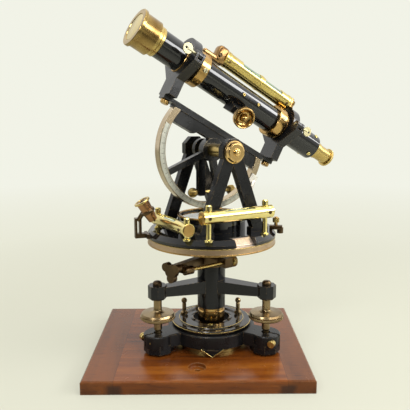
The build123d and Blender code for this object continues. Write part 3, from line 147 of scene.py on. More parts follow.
def add_world():
    """Pale paper for the eye, and for the rest a room that is dark on the camera's side."""
    world = bpy.data.worlds.new("studio")
    bpy.context.scene.world = world
    world.use_nodes = True
    tree = world.node_tree
    tree.nodes.clear()
    output = tree.nodes.new("ShaderNodeOutputWorld")
    paper = tree.nodes.new("ShaderNodeBackground")
    paper.inputs["Color"].default_value = (*PAPER_FAR, 1)
    room = tree.nodes.new("ShaderNodeBackground")
    direction = tree.nodes.new("ShaderNodeTexCoord").outputs["Generated"]
    split = tree.nodes.new("ShaderNodeSeparateXYZ")
    tree.links.new(direction, split.inputs[0])
    away = tree.nodes.new("ShaderNodeMapRange")
    away.interpolation_type = "SMOOTHSTEP"
    away.inputs["From Min"].default_value = -0.75
    away.inputs["From Max"].default_value = 0.55
    away.inputs["To Min"].default_value = 0.07
    away.inputs["To Max"].default_value = 0.95
    tree.links.new(split.outputs["Y"], away.inputs["Value"])
    above = tree.nodes.new("ShaderNodeMapRange")
    above.interpolation_type = "SMOOTHSTEP"
    above.inputs["From Min"].default_value = 0.15
    above.inputs["From Max"].default_value = 0.95
    above.inputs["To Min"].default_value = 0.0
    above.inputs["To Max"].default_value = 0.6
    tree.links.new(split.outputs["Z"], above.inputs["Value"])
    right = tree.nodes.new("ShaderNodeMapRange")
    right.interpolation_type = "SMOOTHSTEP"
    right.inputs["From Min"].default_value = 0.35
    right.inputs["From Max"].default_value = 0.9
    right.inputs["To Min"].default_value = 0.0
    right.inputs["To Max"].default_value = 0.45
    tree.links.new(split.outputs["X"], right.inputs["Value"])
    light = tree.nodes.new("ShaderNodeMath")
    light.operation = "ADD"
    tree.links.new(away.outputs[0], light.inputs[0])
    tree.links.new(above.outputs[0], light.inputs[1])
    brighter = tree.nodes.new("ShaderNodeMath")
    brighter.operation = "ADD"
    tree.links.new(light.outputs[0], brighter.inputs[0])
    tree.links.new(right.outputs[0], brighter.inputs[1])
    tree.links.new(brighter.outputs[0], room.inputs["Strength"])
    room.inputs["Color"].default_value = (1.0, 0.995, 0.96, 1)
    rays = tree.nodes.new("ShaderNodeLightPath")
    seen = tree.nodes.new("ShaderNodeMath")
    seen.operation = "MAXIMUM"
    tree.links.new(rays.outputs["Is Camera Ray"], seen.inputs[0])
    tree.links.new(rays.outputs["Is Transmission Ray"], seen.inputs[1])
    mix = tree.nodes.new("ShaderNodeMixShader")
    tree.links.new(seen.outputs[0], mix.inputs[0])
    tree.links.new(room.outputs[0], mix.inputs[1])
    tree.links.new(paper.outputs[0], mix.inputs[2])
    tree.links.new(mix.outputs[0], output.inputs[0])


def add_floor():
    """Pale paper that keeps the object's shadow and runs out into the backdrop."""
    bpy.ops.mesh.primitive_circle_add(vertices=64, radius=8, fill_type="NGON", location=(0, 0, 0))
    floor = bpy.context.object
    floor.name = "paper_floor"
    finish = Finish("floor_paper")
    tree = finish.tree
    finish.socket("Roughness", 0.9)
    finish.socket("Specular IOR Level", 0.1)
    split = tree.nodes.new("ShaderNodeSeparateXYZ")
    tree.links.new(finish.coords, split.inputs[0])
    # painted shade: the floor's base is near-black on the camera's side, except to the right, so metals reflect
    # darkness there
    front = finish.math("MAXIMUM", finish.span(split.outputs["Y"], -0.62, -0.22, 0.0, 1.0),
                        finish.span(split.outputs["X"], 0.30, 0.60, 0.0, 1.0))
    finish.socket("Base Color", finish.mix(front, PAINTED_SHADE_FLOOR, PAPER_BASE))
    distance = tree.nodes.new("ShaderNodeVectorMath")
    distance.operation = "LENGTH"
    tree.links.new(finish.coords, distance.inputs[0])
    glow = tree.nodes.new("ShaderNodeEmission")
    far = finish.span(distance.outputs["Value"], 0.3, 1.6, 0.0, 1.0)
    tree.links.new(finish.mix(far, PAPER_NEAR, PAPER_FAR), glow.inputs["Color"])
    rays = tree.nodes.new("ShaderNodeLightPath")
    seen = finish.math("MAXIMUM", rays.outputs["Is Camera Ray"], rays.outputs["Is Transmission Ray"])
    share = finish.math("MULTIPLY", seen, finish.span(distance.outputs["Value"], 0.12, 0.7, 0.45, 1.0))
    blend = tree.nodes.new("ShaderNodeMixShader")
    tree.links.new(share, blend.inputs[0])
    tree.links.new(finish.shader.outputs[0], blend.inputs[1])
    tree.links.new(glow.outputs[0], blend.inputs[2])
    tree.links.new(blend.outputs[0], tree.nodes["Material Output"].inputs["Surface"])
    floor.data.materials.append(finish.material)


# Finishes
class Finish:
    """One node material around a Principled shader, built up a node at a time."""

    def __init__(self, name):
        self.material = bpy.data.materials.new(name)
        self.material.use_nodes = True
        self.tree = self.material.node_tree
        self.shader = self.tree.nodes["Principled BSDF"]
        self.coords = self.tree.nodes.new("ShaderNodeTexCoord").outputs["Object"]

    def socket(self, name, value):
        if isinstance(value, bpy.types.NodeSocket):
            self.tree.links.new(value, self.shader.inputs[name])
        else:
            self.shader.inputs[name].default_value = value

    def mapped(self, scale=(1, 1, 1), turn=(0, 0, 0), centre=(0, 0, 0)):
        node = self.tree.nodes.new("ShaderNodeMapping")
        node.vector_type = "TEXTURE"
        node.inputs["Location"].default_value = centre
        node.inputs["Rotation"].default_value = turn
        node.inputs["Scale"].default_value = scale
        self.tree.links.new(self.coords, node.inputs["Vector"])
        return node.outputs[0]

    def noise(self, scale, detail=4.0, rough=0.6, vector=None, distort=0.0):
        node = self.tree.nodes.new("ShaderNodeTexNoise")
        node.inputs["Scale"].default_value = scale
        node.inputs["Detail"].default_value = detail
        node.inputs["Roughness"].default_value = rough
        node.inputs["Distortion"].default_value = distort
        self.tree.links.new(vector or self.coords, node.inputs["Vector"])
        return node.outputs["Fac"]

    def ramp(self, value, *stops):
        node = self.tree.nodes.new("ShaderNodeValToRGB")
        elements = node.color_ramp.elements
        while len(elements) < len(stops):
            elements.new(0.5)
        for element, (place, colour) in zip(elements, stops):
            element.position = place
            element.color = (*colour, 1) if isinstance(colour, tuple) else (colour, colour, colour, 1)
        self.tree.links.new(value, node.inputs[0])
        return node.outputs[0]

    def span(self, value, low, high, out_low, out_high):
        node = self.tree.nodes.new("ShaderNodeMapRange")
        self.tree.links.new(value, node.inputs["Value"])
        for name, number in (("From Min", low), ("From Max", high), ("To Min", out_low), ("To Max", out_high)):
            node.inputs[name].default_value = number
        return node.outputs[0]

    def math(self, operation, a, b):
        node = self.tree.nodes.new("ShaderNodeMath")
        node.operation = operation
        for index, value in enumerate((a, b)):
            if isinstance(value, bpy.types.NodeSocket):
                self.tree.links.new(value, node.inputs[index])
            else:
                node.inputs[index].default_value = value
        return node.outputs[0]

    def mix(self, factor, a, b):
        node = self.tree.nodes.new("ShaderNodeMix")
        node.data_type = "RGBA"
        for name, value in ((0, factor), (6, a), (7, b)):
            if isinstance(value, bpy.types.NodeSocket):
                self.tree.links.new(value, node.inputs[name])
            elif isinstance(value, tuple):
                node.inputs[name].default_value = (*value, 1)
            else:
                node.inputs[name].default_value = value
        return node.outputs[2]

    def edges(self, radius, sharpness=6.0):
        """A mask that is white along edges rounder than the radius."""
        bevel = self.tree.nodes.new("ShaderNodeBevel")
        bevel.samples = 4
        bevel.inputs["Radius"].default_value = radius
        geometry = self.tree.nodes.new("ShaderNodeNewGeometry")
        dot = self.tree.nodes.new("ShaderNodeVectorMath")
        dot.operation = "DOT_PRODUCT"
        self.tree.links.new(bevel.outputs[0], dot.inputs[0])
        self.tree.links.new(geometry.outputs["Normal"], dot.inputs[1])
        return self.math("MULTIPLY", self.math("SUBTRACT", 1.0, dot.outputs["Value"]), sharpness)

    def relief(self, height, strength, distance, round_edges=0.0003):
        """Fine relief over softly rounded edges."""
        bump = self.tree.nodes.new("ShaderNodeBump")
        bump.inputs["Strength"].default_value = strength
        bump.inputs["Distance"].default_value = distance
        self.tree.links.new(height, bump.inputs["Height"])
        if round_edges:
            bevel = self.tree.nodes.new("ShaderNodeBevel")
            bevel.samples = 4
            bevel.inputs["Radius"].default_value = round_edges
            self.tree.links.new(bevel.outputs[0], bump.inputs["Normal"])
        self.tree.links.new(bump.outputs[0], self.shader.inputs["Normal"])

    def in_frame(self, frame):
        """The surface's place in the coordinates of a frame of the instrument."""
        return self.mapped(turn=frame.to_euler("XYZ"), centre=frame.translation)

    def polar(self, place, across, along):
        """Radius and angle of a place about the axis square to the two named directions."""
        split = self.tree.nodes.new("ShaderNodeSeparateXYZ")
        self.tree.links.new(place, split.inputs[0])
        u, v = split.outputs[across], split.outputs[along]
        square = self.math("ADD", self.math("MULTIPLY", u, u), self.math("MULTIPLY", v, v))
        return self.math("SQRT", square, 0.0), self.math("ARCTAN2", v, u)

    def between(self, value, low, high):
        above = self.math("GREATER_THAN", value, low)
        return self.math("MULTIPLY", above, self.math("LESS_THAN", value, high))

    def divisions(self, radius, angle, rows):
        """Engraved lines: each row gives inner and outer radius, degrees apart and degrees wide."""
        total = None
        for inner, outer, apart, wide in rows:
            turns = self.math("MULTIPLY", angle, 180 / pi / apart)
            wave = self.math("PINGPONG", turns, 0.5)
            line = self.math("LESS_THAN", wave, wide / apart / 2)
            line = self.math("MULTIPLY", line, self.between(radius, inner * MM, outer * MM))
            total = line if total is None else self.math("MAXIMUM", total, line)
        return total


def metal(name, bright, brown, tarnish=0.35, rough=(0.14, 0.30)):
    """Old lacquered brass: clean where it is handled, browner where the lacquer has gone."""
    finish = Finish(name)
    cloud = finish.noise(26, 5, 0.55, distort=0.4)
    specks = finish.noise(420, 3, 0.6)
    blend = finish.math("ADD", finish.math("MULTIPLY", cloud, 0.88), finish.math("MULTIPLY", specks, 0.12))
    tone = finish.ramp(blend, (0.62 - 0.40 * tarnish, bright), (1.10 - 0.55 * tarnish, brown))
    rubbed = finish.edges(0.0008, 4.0)
    finish.socket("Base Color", finish.mix(rubbed, tone, tuple(min(1, c * 1.2) for c in bright)))
    finish.socket("Metallic", 1.0)
    finish.socket("Roughness", finish.span(cloud, 0.3, 0.7, *rough))
    finish.relief(finish.noise(240, 2, 0.5), 0.03, 0.00005)
    return finish.material


def lacquer(name, sheen, wear=0.6, rough=(0.20, 0.34), polished_rim=None, intact=0.46, specular=0.5):
    """Black lacquer over brass, rubbed through along its edges."""
    finish = Finish(name)
    cloud = finish.noise(45, 5, 0.6)
    chips = finish.noise(260, 4, 0.7)
    tone = finish.ramp(cloud, (0.35, LACQUER), (0.80, sheen))
    edge = finish.math("MULTIPLY", finish.edges(0.0006, 5.0), finish.span(chips, intact, intact + 0.16, 0.0, 1.6))
    worn = finish.math("MULTIPLY", finish.math("MINIMUM", edge, 1.0), wear)
    bare = BARE_METAL
    if polished_rim:
        radius, _ = finish.polar(finish.in_frame(TELESCOPE), 0, 2)
        rim = finish.math("GREATER_THAN", radius, polished_rim * MM)
        worn = finish.math("MAXIMUM", worn, rim)
        bare = finish.ramp(cloud, (0.35, (0.55, 0.45, 0.30)), (0.75, (0.34, 0.25, 0.15)))
    finish.socket("Base Color", finish.mix(worn, tone, bare))
    finish.socket("Metallic", worn)
    finish.socket("Specular IOR Level", specular)
    finish.socket("Roughness", finish.span(cloud, 0.3, 0.7, *rough))
    finish.relief(finish.noise(150, 2, 0.5), 0.03, 0.00004)
    return finish.material


def silvered(name, frame=None, across=0, along=1, rows=(), bright=SILVER, dull=SILVER_DULL):
    """Silvered brass, with its engraved divisions where it has any."""
    finish = Finish(name)
    cloud = finish.noise(90, 5, 0.7)
    tone = finish.ramp(cloud, (0.35, bright), (0.78, dull))
    if rows:
        place = finish.in_frame(frame) if frame else finish.coords
        radius, angle = finish.polar(place, across, along)
        tone = finish.mix(finish.divisions(radius, angle, rows), tone, ENGRAVING)
    finish.socket("Base Color", tone)
    finish.socket("Metallic", 0.8)
    finish.socket("Roughness", finish.span(cloud, 0.3, 0.7, 0.28, 0.46))
    finish.relief(finish.noise(900, 2, 0.5), 0.05, 0.00006)
    return finish.material


def front_edge_dark_patches(finish):
    """Two dark patches low on the board's front edge, one at each clamp seam."""
    split = finish.tree.nodes.new("ShaderNodeSeparateXYZ")
    finish.tree.links.new(finish.coords, split.inputs[0])
    ragged = finish.noise(160, 3, 0.6)
    side = finish.math("ABSOLUTE", finish.math("SUBTRACT", split.outputs["X"], BOARD_MIDDLE * MM), 0.0)
    near = finish.math("ABSOLUTE", finish.math("SUBTRACT", side, CLAMP_SEAM * MM), 0.0)
    near = finish.math("ADD", near, finish.math("MULTIPLY", ragged, 0.006))
    patch = finish.span(near, 0.008, 0.013, 0.8, 0.0)
    low = finish.span(split.outputs["Z"], 0.0075, 0.0105, 1.0, 0.0)
    front = finish.math("LESS_THAN", split.outputs["Y"], -0.0965)
    return finish.math("MULTIPLY", finish.math("MULTIPLY", patch, low), front)


def mahogany(name):
    """Polished wood with its grain along the board's width."""
    finish = Finish(name)
    figure = finish.noise(13, 5, 0.55, finish.mapped(scale=(7.0, 1.0, 1.0)), 0.8)
    streaks = finish.noise(95, 5, 0.65, finish.mapped(scale=(16.0, 1.0, 1.0)), 0.3)
    pores = finish.noise(650, 3, 0.7, finish.mapped(scale=(12.0, 1.0, 1.0)))
    blend = finish.math("ADD", finish.math("MULTIPLY", figure, 0.6), finish.math("MULTIPLY", streaks, 0.4))
    tone = finish.ramp(blend, (0.36, WOOD_DARK), (0.52, WOOD_RED), (0.68, WOOD_GOLD))
    crossed = finish.noise(24, 5, 0.6, finish.mapped(scale=(1.0, 9.0, 1.0)), 0.5)
    clamp_tone = finish.ramp(crossed, (0.34, WOOD_DARK), (0.56, WOOD_CLAMP), (0.74, WOOD_RED))
    split = finish.tree.nodes.new("ShaderNodeSeparateXYZ")
    finish.tree.links.new(finish.coords, split.inputs[0])
    side = finish.math("ABSOLUTE", finish.math("SUBTRACT", split.outputs["X"], BOARD_MIDDLE * MM), 0.0)
    tone = finish.mix(finish.math("GREATER_THAN", side, CLAMP_SEAM * MM), tone, clamp_tone)
    seam = finish.between(side, (CLAMP_SEAM - 0.25) * MM, (CLAMP_SEAM + 0.25) * MM)
    tone = finish.mix(finish.math("MULTIPLY", seam, 0.7), tone, WOOD_DARK)
    dark_pores = finish.span(pores, 0.54, 0.70, 0.0, 0.55)
    wear = finish.edges(0.003, 3.0)
    scuffs = finish.math("MULTIPLY", wear, finish.span(finish.noise(130, 4, 0.7), 0.40, 0.62, 0.0, 1.0))
    tone = finish.mix(dark_pores, tone, (0.020, 0.007, 0.004))
    tone = finish.mix(scuffs, tone, (0.24, 0.115, 0.045))
    tone = finish.mix(front_edge_dark_patches(finish), tone, (0.022, 0.010, 0.006))
    finish.socket("Base Color", tone)
    finish.socket("Roughness", finish.span(finish.noise(48, 5, 0.65), 0.3, 0.7, 0.14, 0.30))
    finish.socket("Specular IOR Level", 0.26)
    finish.relief(pores, 0.18, 0.0001, 0.0012)
    return finish.material


def glass(name, colour, rough=0.02):
    finish = Finish(name)
    finish.socket("Base Color", (*colour, 1))
    finish.socket("Roughness", rough)
    finish.socket("Transmission Weight", 1.0)
    finish.socket("IOR", 1.45)
    return finish.material


def glazed(name, colour, rough=0.12, coat=1.0):
    """A plain tone under a clear skin, a little uneven."""
    finish = Finish(name)
    cloud = finish.noise(180, 3, 0.5)
    finish.socket("Base Color", finish.ramp(cloud, (0.3, colour), (0.8, tuple(0.7 * c for c in colour))))
    finish.socket("Roughness", rough)
    finish.socket("Coat Weight", coat)
    finish.socket("Coat Roughness", 0.03)
    return finish.material


def spirit(name):
    """A sealed tube of green spirit, its tone uneven."""
    finish = Finish(name)
    cloud = finish.noise(60, 3, 0.5)
    finish.socket("Base Color", finish.ramp(cloud, (0.35, (0.045, 0.085, 0.035)), (0.75, (0.16, 0.24, 0.08))))
    finish.socket("Roughness", 0.05)
    finish.socket("Coat Weight", 1.0)
    finish.socket("Coat Roughness", 0.02)
    return finish.material


def dial_card(name):
    """The compass card: white, with degrees round its raised ring and crossed lines on its floor."""
    finish = Finish(name)
    cloud = finish.noise(120, 4, 0.6)
    tone = finish.ramp(cloud, (0.35, (0.82, 0.81, 0.74)), (0.75, (0.66, 0.64, 0.55)))
    radius, angle = finish.polar(finish.in_frame(ALIDADE), 0, 1)
    rows = ((30.0, 32.4, 2, 0.35), (28.6, 32.4, 10, 0.5), (4.0, 26.0, 90, 0.9), (24.0, 26.0, 11.25, 0.8))
    finish.socket("Base Color", finish.mix(finish.divisions(radius, angle, rows), tone, ENGRAVING))
    finish.socket("Roughness", 0.5)
    return finish.material


def steel(name, light, dark, rough=0.28):
    finish = Finish(name)
    cloud = finish.noise(220, 4, 0.6)
    finish.socket("Base Color", finish.ramp(cloud, (0.35, light), (0.75, dark)))
    finish.socket("Metallic", 1.0)
    finish.socket("Roughness", finish.span(cloud, 0.3, 0.7, rough - 0.06, rough + 0.10))
    finish.relief(finish.noise(800, 2, 0.5), 0.05, 0.00006)
    return finish.material


LIMB_ROWS = ((67.3, 69.0, 1, 0.22), (66.2, 69.0, 5, 0.26), (65.2, 69.0, 10, 0.30))
ARC_ROWS = ((57.6, 59.6, 1, 0.28), (57.6, 60.6, 5, 0.34), (57.6, 61.6, 10, 0.40), (57.3, 57.5, 0.1, 0.1))
VERNIER_ROWS = ((60.0, 64.0, 0.9, 0.20), (58.5, 64.0, 4.5, 0.26))


def make_finishes():
    return {
        "brass": metal("lacquered_brass", BRASS, BRASS_BROWN, 0.55, (0.18, 0.36)),
        "level_brass": metal("polished_level_brass", LEVEL_BRASS, LEVEL_BROWN, 0.30, (0.12, 0.26)),
        "copper": metal("copper_coloured_brass", COPPER_BRASS, COPPER_BROWN, 0.6, (0.14, 0.30)),
        "bronze": metal("pale_bronze", BRONZE, BRONZE_BROWN, 0.7, (0.22, 0.38)),
        "limb_bronze": metal("limb_bronze", LIMB_BRONZE, LIMB_BROWN, 0.45, (0.26, 0.42)),
        "dark_bronze": metal("dark_bronze", DARK_BRONZE, DARK_PATINA, 0.7, (0.24, 0.44)),
        "pale_brass": metal("pale_satin_brass", PALE_BRASS, LEVEL_BRASS, 0.2, (0.40, 0.55)),
        "dull_copper": metal("dull_copper_coloured_brass", DULL_COPPER, DULL_BROWN, 0.5, (0.14, 0.28)),
        "black": lacquer("black_lacquer", LACQUER_SHEEN, 0.6, (0.20, 0.34), None, 0.46, 0.25),
        "casting_black": lacquer("casting_black_lacquer", LACQUER_SHEEN, 0.6, (0.20, 0.34), None, 0.46, 0.6),
        "satin_black": lacquer("satin_black_lacquer", LACQUER, 0.6, (0.12, 0.24), None, 0.46, 0.3),
        "gloss_black": lacquer("polished_black_lacquer", LACQUER, 0.6, (0.03, 0.08), None, 0.46, 0.6),
        "rubbed_black": lacquer("rubbed_black_lacquer", LACQUER, 0.95, (0.06, 0.14), None, 0.28),
        "arc_black": lacquer("black_lacquer_with_bright_rim", LACQUER_SHEEN, 0.6, (0.16, 0.34), 56.7),
        "limb_silver": silvered("silvered_limb", None, 0, 1, LIMB_ROWS),
        "arc_silver": silvered("silvered_arc", TELESCOPE, 0, 2, ARC_ROWS, (0.56, 0.56, 0.48), (0.32, 0.31, 0.25)),
        "vernier_silver": silvered("silvered_vernier", ALIDADE, 0, 1, VERNIER_ROWS, PINK_SILVER, PINK_DULL),
        "silver": silvered("silvered_plain"),
        "wood": mahogany("polished_mahogany"),
        "dial": dial_card("compass_card"),
        "cap_brass": metal("browned_cap_brass", CAP_BRASS, CAP_BROWN, 0.75, (0.12, 0.26)),
        "browned_brass": metal("browned_brass", BROWNED_BRASS, DULL_BROWN, 0.55, (0.18, 0.32)),
        "level_gold": metal("golden_level_brass", LEVEL_GOLD, BRASS_BROWN, 0.4, (0.14, 0.28)),
        "pale_gold": metal("pale_gold_brass", PALE_GOLD, CAP_BRASS, 0.3, (0.30, 0.45)),
        "gold_copper": metal("gold_copper_brass", GOLD_COPPER, COPPER_BROWN, 0.35, (0.12, 0.26)),
        "steel": steel("bright_steel", (0.50, 0.50, 0.50), (0.30, 0.30, 0.31)),
        "blue_steel": steel("blued_steel", (0.06, 0.08, 0.16), (0.03, 0.035, 0.06)),
        "glass": glass("clear_glass", (0.96, 0.98, 0.97)),
        "spirit": spirit("spirit_vial"),
        "bubble": glazed("bubble", (0.62, 0.70, 0.42)),
        # painted shade: near-black tone standing in for the shade inside cross holes
        "hole": glazed("painted_shade_in_hole", (0.012, 0.010, 0.008), 0.6, 0.0),
    }


WEARS = {
    "wood": ["case_board"],
    "cap_brass": ["objective_cap"],
    "brass": ["eyepiece", "draw_tube", "trunnion_axle", "lower_tangent_screw", "base_screws",
              "foot_flange", "vertical_tangent_screw"],
    "pale_brass": ["objective_pin", "eyepiece_pin"],
    "dull_copper": ["reader_magnifier"],
    "level_brass": ["front_level", "side_level", "level_posts"],
    "gold_copper": ["trunnion_caps"],
    "copper": ["telescope_collars", "spindle_seat", "wye_nuts"],
    "bronze": ["foot_screw_left", "foot_screw_right", "foot_screw_back", "ball_posts"],
    "limb_bronze": ["horizontal_limb"],
    "dark_bronze": ["dust_caps", "lower_collar", "lower_clamp_screw", "reader_arm", "outer_spindle"],
    "rubbed_black": ["shifting_ring"],
    "gloss_black": ["vernier_plate", "compass_box", "main_tube"],
    "satin_black": ["tribrach"],
    "black": ["foot_plate", "near_a_frame", "far_a_frame", "vertical_clamp_arm", "focus_box"],
    "casting_black": ["wye_bar", "objective_wye", "eyepiece_wye", "objective_clip", "eyepiece_clip"],
    "arc_black": ["vertical_arc"],
    "limb_silver": ["limb_scale"],
    "arc_silver": ["arc_scale"],
    "vernier_silver": ["verniers"],
    "silver": ["vertical_vernier"],
    "dial": ["compass_dial"],
    "steel": ["inner_spindle"],
    "blue_steel": ["compass_needle"],
    "glass": ["compass_glass", "objective_lens"],
    "spirit": ["front_level_vial", "side_level_vial", "telescope_level_vial"],
}


def dress_cad_nodes(finishes):
    for finish, names in WEARS.items():
        for name in names:
            mesh = NODES[name].data
            mesh.materials.clear()
            mesh.materials.append(finishes[finish])


# Shaping small pieces
def clear_selection():
    bpy.ops.object.select_all(action="DESELECT")


def pick_faces(piece, test):
    """In edit mode, selects the faces whose middle and normal pass the test."""
    bpy.ops.mesh.select_mode(type="FACE")
    bpy.ops.mesh.select_all(action="DESELECT")
    shape = bmesh.from_edit_mesh(piece.data)
    for face in shape.faces:
        face.select_set(bool(test(face.calc_center_median(), face.normal)))
    bmesh.update_edit_mesh(piece.data)


def pick_corners(piece, test):
    bpy.ops.mesh.select_mode(type="VERT")
    bpy.ops.mesh.select_all(action="DESELECT")
    shape = bmesh.from_edit_mesh(piece.data)
    for corner in shape.verts:
        corner.select_set(bool(test(corner.co)))
    shape.select_flush_mode()
    bmesh.update_edit_mesh(piece.data)


def new_disc(name, radius, height, sides):
    """A cylinder that stands on the origin, in edit mode."""
    clear_selection()
    bpy.ops.mesh.primitive_cylinder_add(vertices=sides, radius=radius * MM, depth=height * MM,
                                        location=(0, 0, height * MM / 2))
    disc = bpy.context.object
    disc.name = name
    bpy.ops.object.transform_apply(location=True, rotation=True, scale=True)
    bpy.ops.object.mode_set(mode="EDIT")
    return disc


def slotted_screw(name):
    """A cheese-headed screw of 1 mm radius, with a rounded rim and a slot."""
    screw = new_disc(name, 1, 0.5, 28)
    pick_faces(screw, lambda middle, normal: normal.z > 0.9)
    bpy.ops.mesh.inset(thickness=0.14 * MM)
    bpy.ops.transform.translate(value=(0, 0, 0.10 * MM))
    half = 0.15 * MM
    for side in (-1, 1):
        bpy.ops.mesh.select_all(action="SELECT")
        bpy.ops.mesh.bisect(plane_co=(side * half, 0, 0), plane_no=(1, 0, 0))
    pick_faces(screw, lambda middle, normal: normal.z > 0.99 and abs(middle.x) < half)
    bpy.ops.mesh.extrude_region_move(TRANSFORM_OT_translate={"value": (0, 0, -0.35 * MM)})
    bpy.ops.object.mode_set(mode="OBJECT")
    return screw


def capstan_hole(name):
    """The mouth of a cross hole of 1 mm radius, sunk inside a thin lip; its finish paints the hole's shade
    near-black.
    """
    hole = new_disc(name, 1, 0.3, 20)
    pick_faces(hole, lambda middle, normal: normal.z > 0.9)
    bpy.ops.mesh.inset(thickness=0.12 * MM)
    bpy.ops.mesh.extrude_region_move(TRANSFORM_OT_translate={"value": (0, 0, -0.2 * MM)})
    bpy.ops.object.mode_set(mode="OBJECT")
    return hole


def hoop(name, radius, bore, width, sides=96, rounding=0.25):
    """A ring with softened edges."""
    ring = new_disc(name, radius, width, sides)
    pick_faces(ring, lambda middle, normal: abs(normal.z) > 0.9)
    bpy.ops.mesh.inset(thickness=(radius - bore) * MM)
    bpy.ops.mesh.bridge_edge_loops()
    pick_faces(ring, lambda middle, normal: abs(normal.z) > 0.9)
    bpy.ops.mesh.region_to_loop()
    bpy.ops.mesh.bevel(offset=rounding * MM, segments=2, affect="EDGES")
    bpy.ops.object.mode_set(mode="OBJECT")
    return ring


def milled_band(name, radius, bore, width, ribs, depth=0.28):
    """A ring with fine ribs round its rim, as milled heads have."""
    band = new_disc(name, radius, width, 2 * ribs)
    pick_faces(band, lambda middle, normal: abs(normal.z) > 0.9)
    bpy.ops.mesh.inset(thickness=(radius - bore) * MM)
    bpy.ops.mesh.bridge_edge_loops()
    middle_radius = (radius + bore) / 2 * MM
    pick_corners(band, lambda co: hypot(co.x, co.y) > middle_radius
                 and round(atan2(co.y, co.x) * ribs / pi) % 2 == 1)
    shrink = 1 - depth / radius
    bpy.ops.transform.resize(value=(shrink, shrink, 1), center_override=(0, 0, 0))
    bpy.ops.object.mode_set(mode="OBJECT")
    return band


def turned_piece(name, profile, sides=64):
    """A lathe-turned piece on the Z axis, spun from the (radius, height) points of its profile."""
    clear_selection()
    bpy.ops.mesh.primitive_plane_add(size=MM, location=(0, 0, 0))
    piece = bpy.context.object
    piece.name = name
    bpy.ops.object.mode_set(mode="EDIT")
    bpy.ops.mesh.select_mode(type="VERT")
    bpy.ops.mesh.select_all(action="SELECT")
    bpy.ops.mesh.merge(type="CENTER")
    radius, height = profile[0]
    bpy.ops.transform.translate(value=(radius * MM, 0, height * MM))
    for (last_radius, last_height), (radius, height) in zip(profile, profile[1:]):
        step = ((radius - last_radius) * MM, 0, (height - last_height) * MM)
        bpy.ops.mesh.extrude_region_move(TRANSFORM_OT_translate={"value": step})
    bpy.ops.mesh.select_all(action="SELECT")
    bpy.ops.mesh.spin(steps=sides, angle=2 * pi, center=(0, 0, 0), axis=(0, 0, 1))
    bpy.ops.mesh.select_all(action="SELECT")
    bpy.ops.mesh.remove_doubles(threshold=0.01 * MM)
    bpy.ops.mesh.normals_make_consistent(inside=False)
    bpy.ops.object.mode_set(mode="OBJECT")
    return piece


def windowed_case(name, radius, length, wall, windows, half_angle):
    """A level's case that stands on the origin, with windows cut round its +X side."""
    case = new_disc(name, radius, length, 64)
    for edge in (edge for window in windows for edge in window):
        bpy.ops.mesh.select_all(action="SELECT")
        bpy.ops.mesh.bisect(plane_co=(0, 0, edge * MM), plane_no=(0, 0, 1))
    reach = cos(radians(half_angle))
    pick_faces(case, lambda middle, normal: normal.x > reach and abs(normal.z) < 0.1
               and any(low < middle.z / MM < high for low, high in windows))
    bpy.ops.mesh.delete(type="FACE")
    bpy.ops.object.mode_set(mode="OBJECT")
    shell = case.modifiers.new("wall", "SOLIDIFY")
    shell.thickness = wall * MM
    shell.offset = -1
    bpy.ops.object.modifier_apply(modifier="wall")
    return case


def bubble(name):
    """A long low bubble, 1 mm in each half length before it is stretched."""
    clear_selection()
    bpy.ops.mesh.primitive_uv_sphere_add(segments=28, ring_count=14, radius=MM)
    shape = bpy.context.object
    shape.name = name
    bpy.ops.object.mode_set(mode="EDIT")
    bpy.ops.mesh.select_all(action="SELECT")
    bpy.ops.mesh.bisect(plane_co=(0, 0, 0), plane_no=(0, 0, 1), clear_inner=True, use_fill=True)
    bpy.ops.object.mode_set(mode="OBJECT")
    return shape


def plate_piece(name, length, width, height, rounding):
    """A small bar that stands on the origin, with rounded edges."""
    clear_selection()
    bpy.ops.mesh.primitive_cube_add(size=1, location=(0, 0, height * MM / 2))
    bar = bpy.context.object
    bar.name = name
    bar.scale = (length * MM, width * MM, height * MM)
    bpy.ops.object.transform_apply(location=True, rotation=True, scale=True)
    bpy.ops.object.mode_set(mode="EDIT")
    bpy.ops.mesh.select_all(action="SELECT")
    bpy.ops.mesh.bevel(offset=rounding * MM, segments=3, affect="EDGES")
    bpy.ops.object.mode_set(mode="OBJECT")
    return bar


def facing(frame, place, direction, size=(1, 1, 1)):
    """A frame's place, with the piece's Z turned to a direction of that frame."""
    turn = Vector(direction).to_track_quat("Z", "Y").to_matrix().to_4x4()
    stretch = Matrix.Diagonal((*size, 1))
    return frame @ Matrix.Translation(Vector(place) * MM) @ turn @ stretch


def settle(piece, place, finish, body):
    """Puts a piece in its place for good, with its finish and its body."""
    clear_selection()
    piece.select_set(True)
    bpy.context.view_layer.objects.active = piece
    piece.matrix_world = place
    bpy.ops.object.transform_apply(location=True, rotation=True, scale=True)
    bpy.ops.object.shade_smooth_by_angle(angle=radians(32))
    piece.data.materials.clear()
    piece.data.materials.append(FINISHES[finish])
    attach(piece, body)


def stamp(pattern, finish, places):
    """Copies a pattern to each body and place, then takes the pattern away."""
    for number, (body, place) in enumerate(places, 1):
        twin = pattern.copy()
        twin.data = pattern.data.copy()
        twin.name = f"{pattern.name}_{number}"
        bpy.context.collection.objects.link(twin)
        settle(twin, place, finish, body)
    bpy.data.objects.remove(pattern)


def radial(x, radius, angle, frame=TUBE, rise=0.0, size=1.0):
    """On a tube along X: a place at a radius and angle, facing outwards."""
    turn = radians(angle)
    outward = (0, cos(turn), sin(turn))
    return facing(frame, (x, radius * cos(turn), rise + radius * sin(turn)), outward, (size,) * 3)


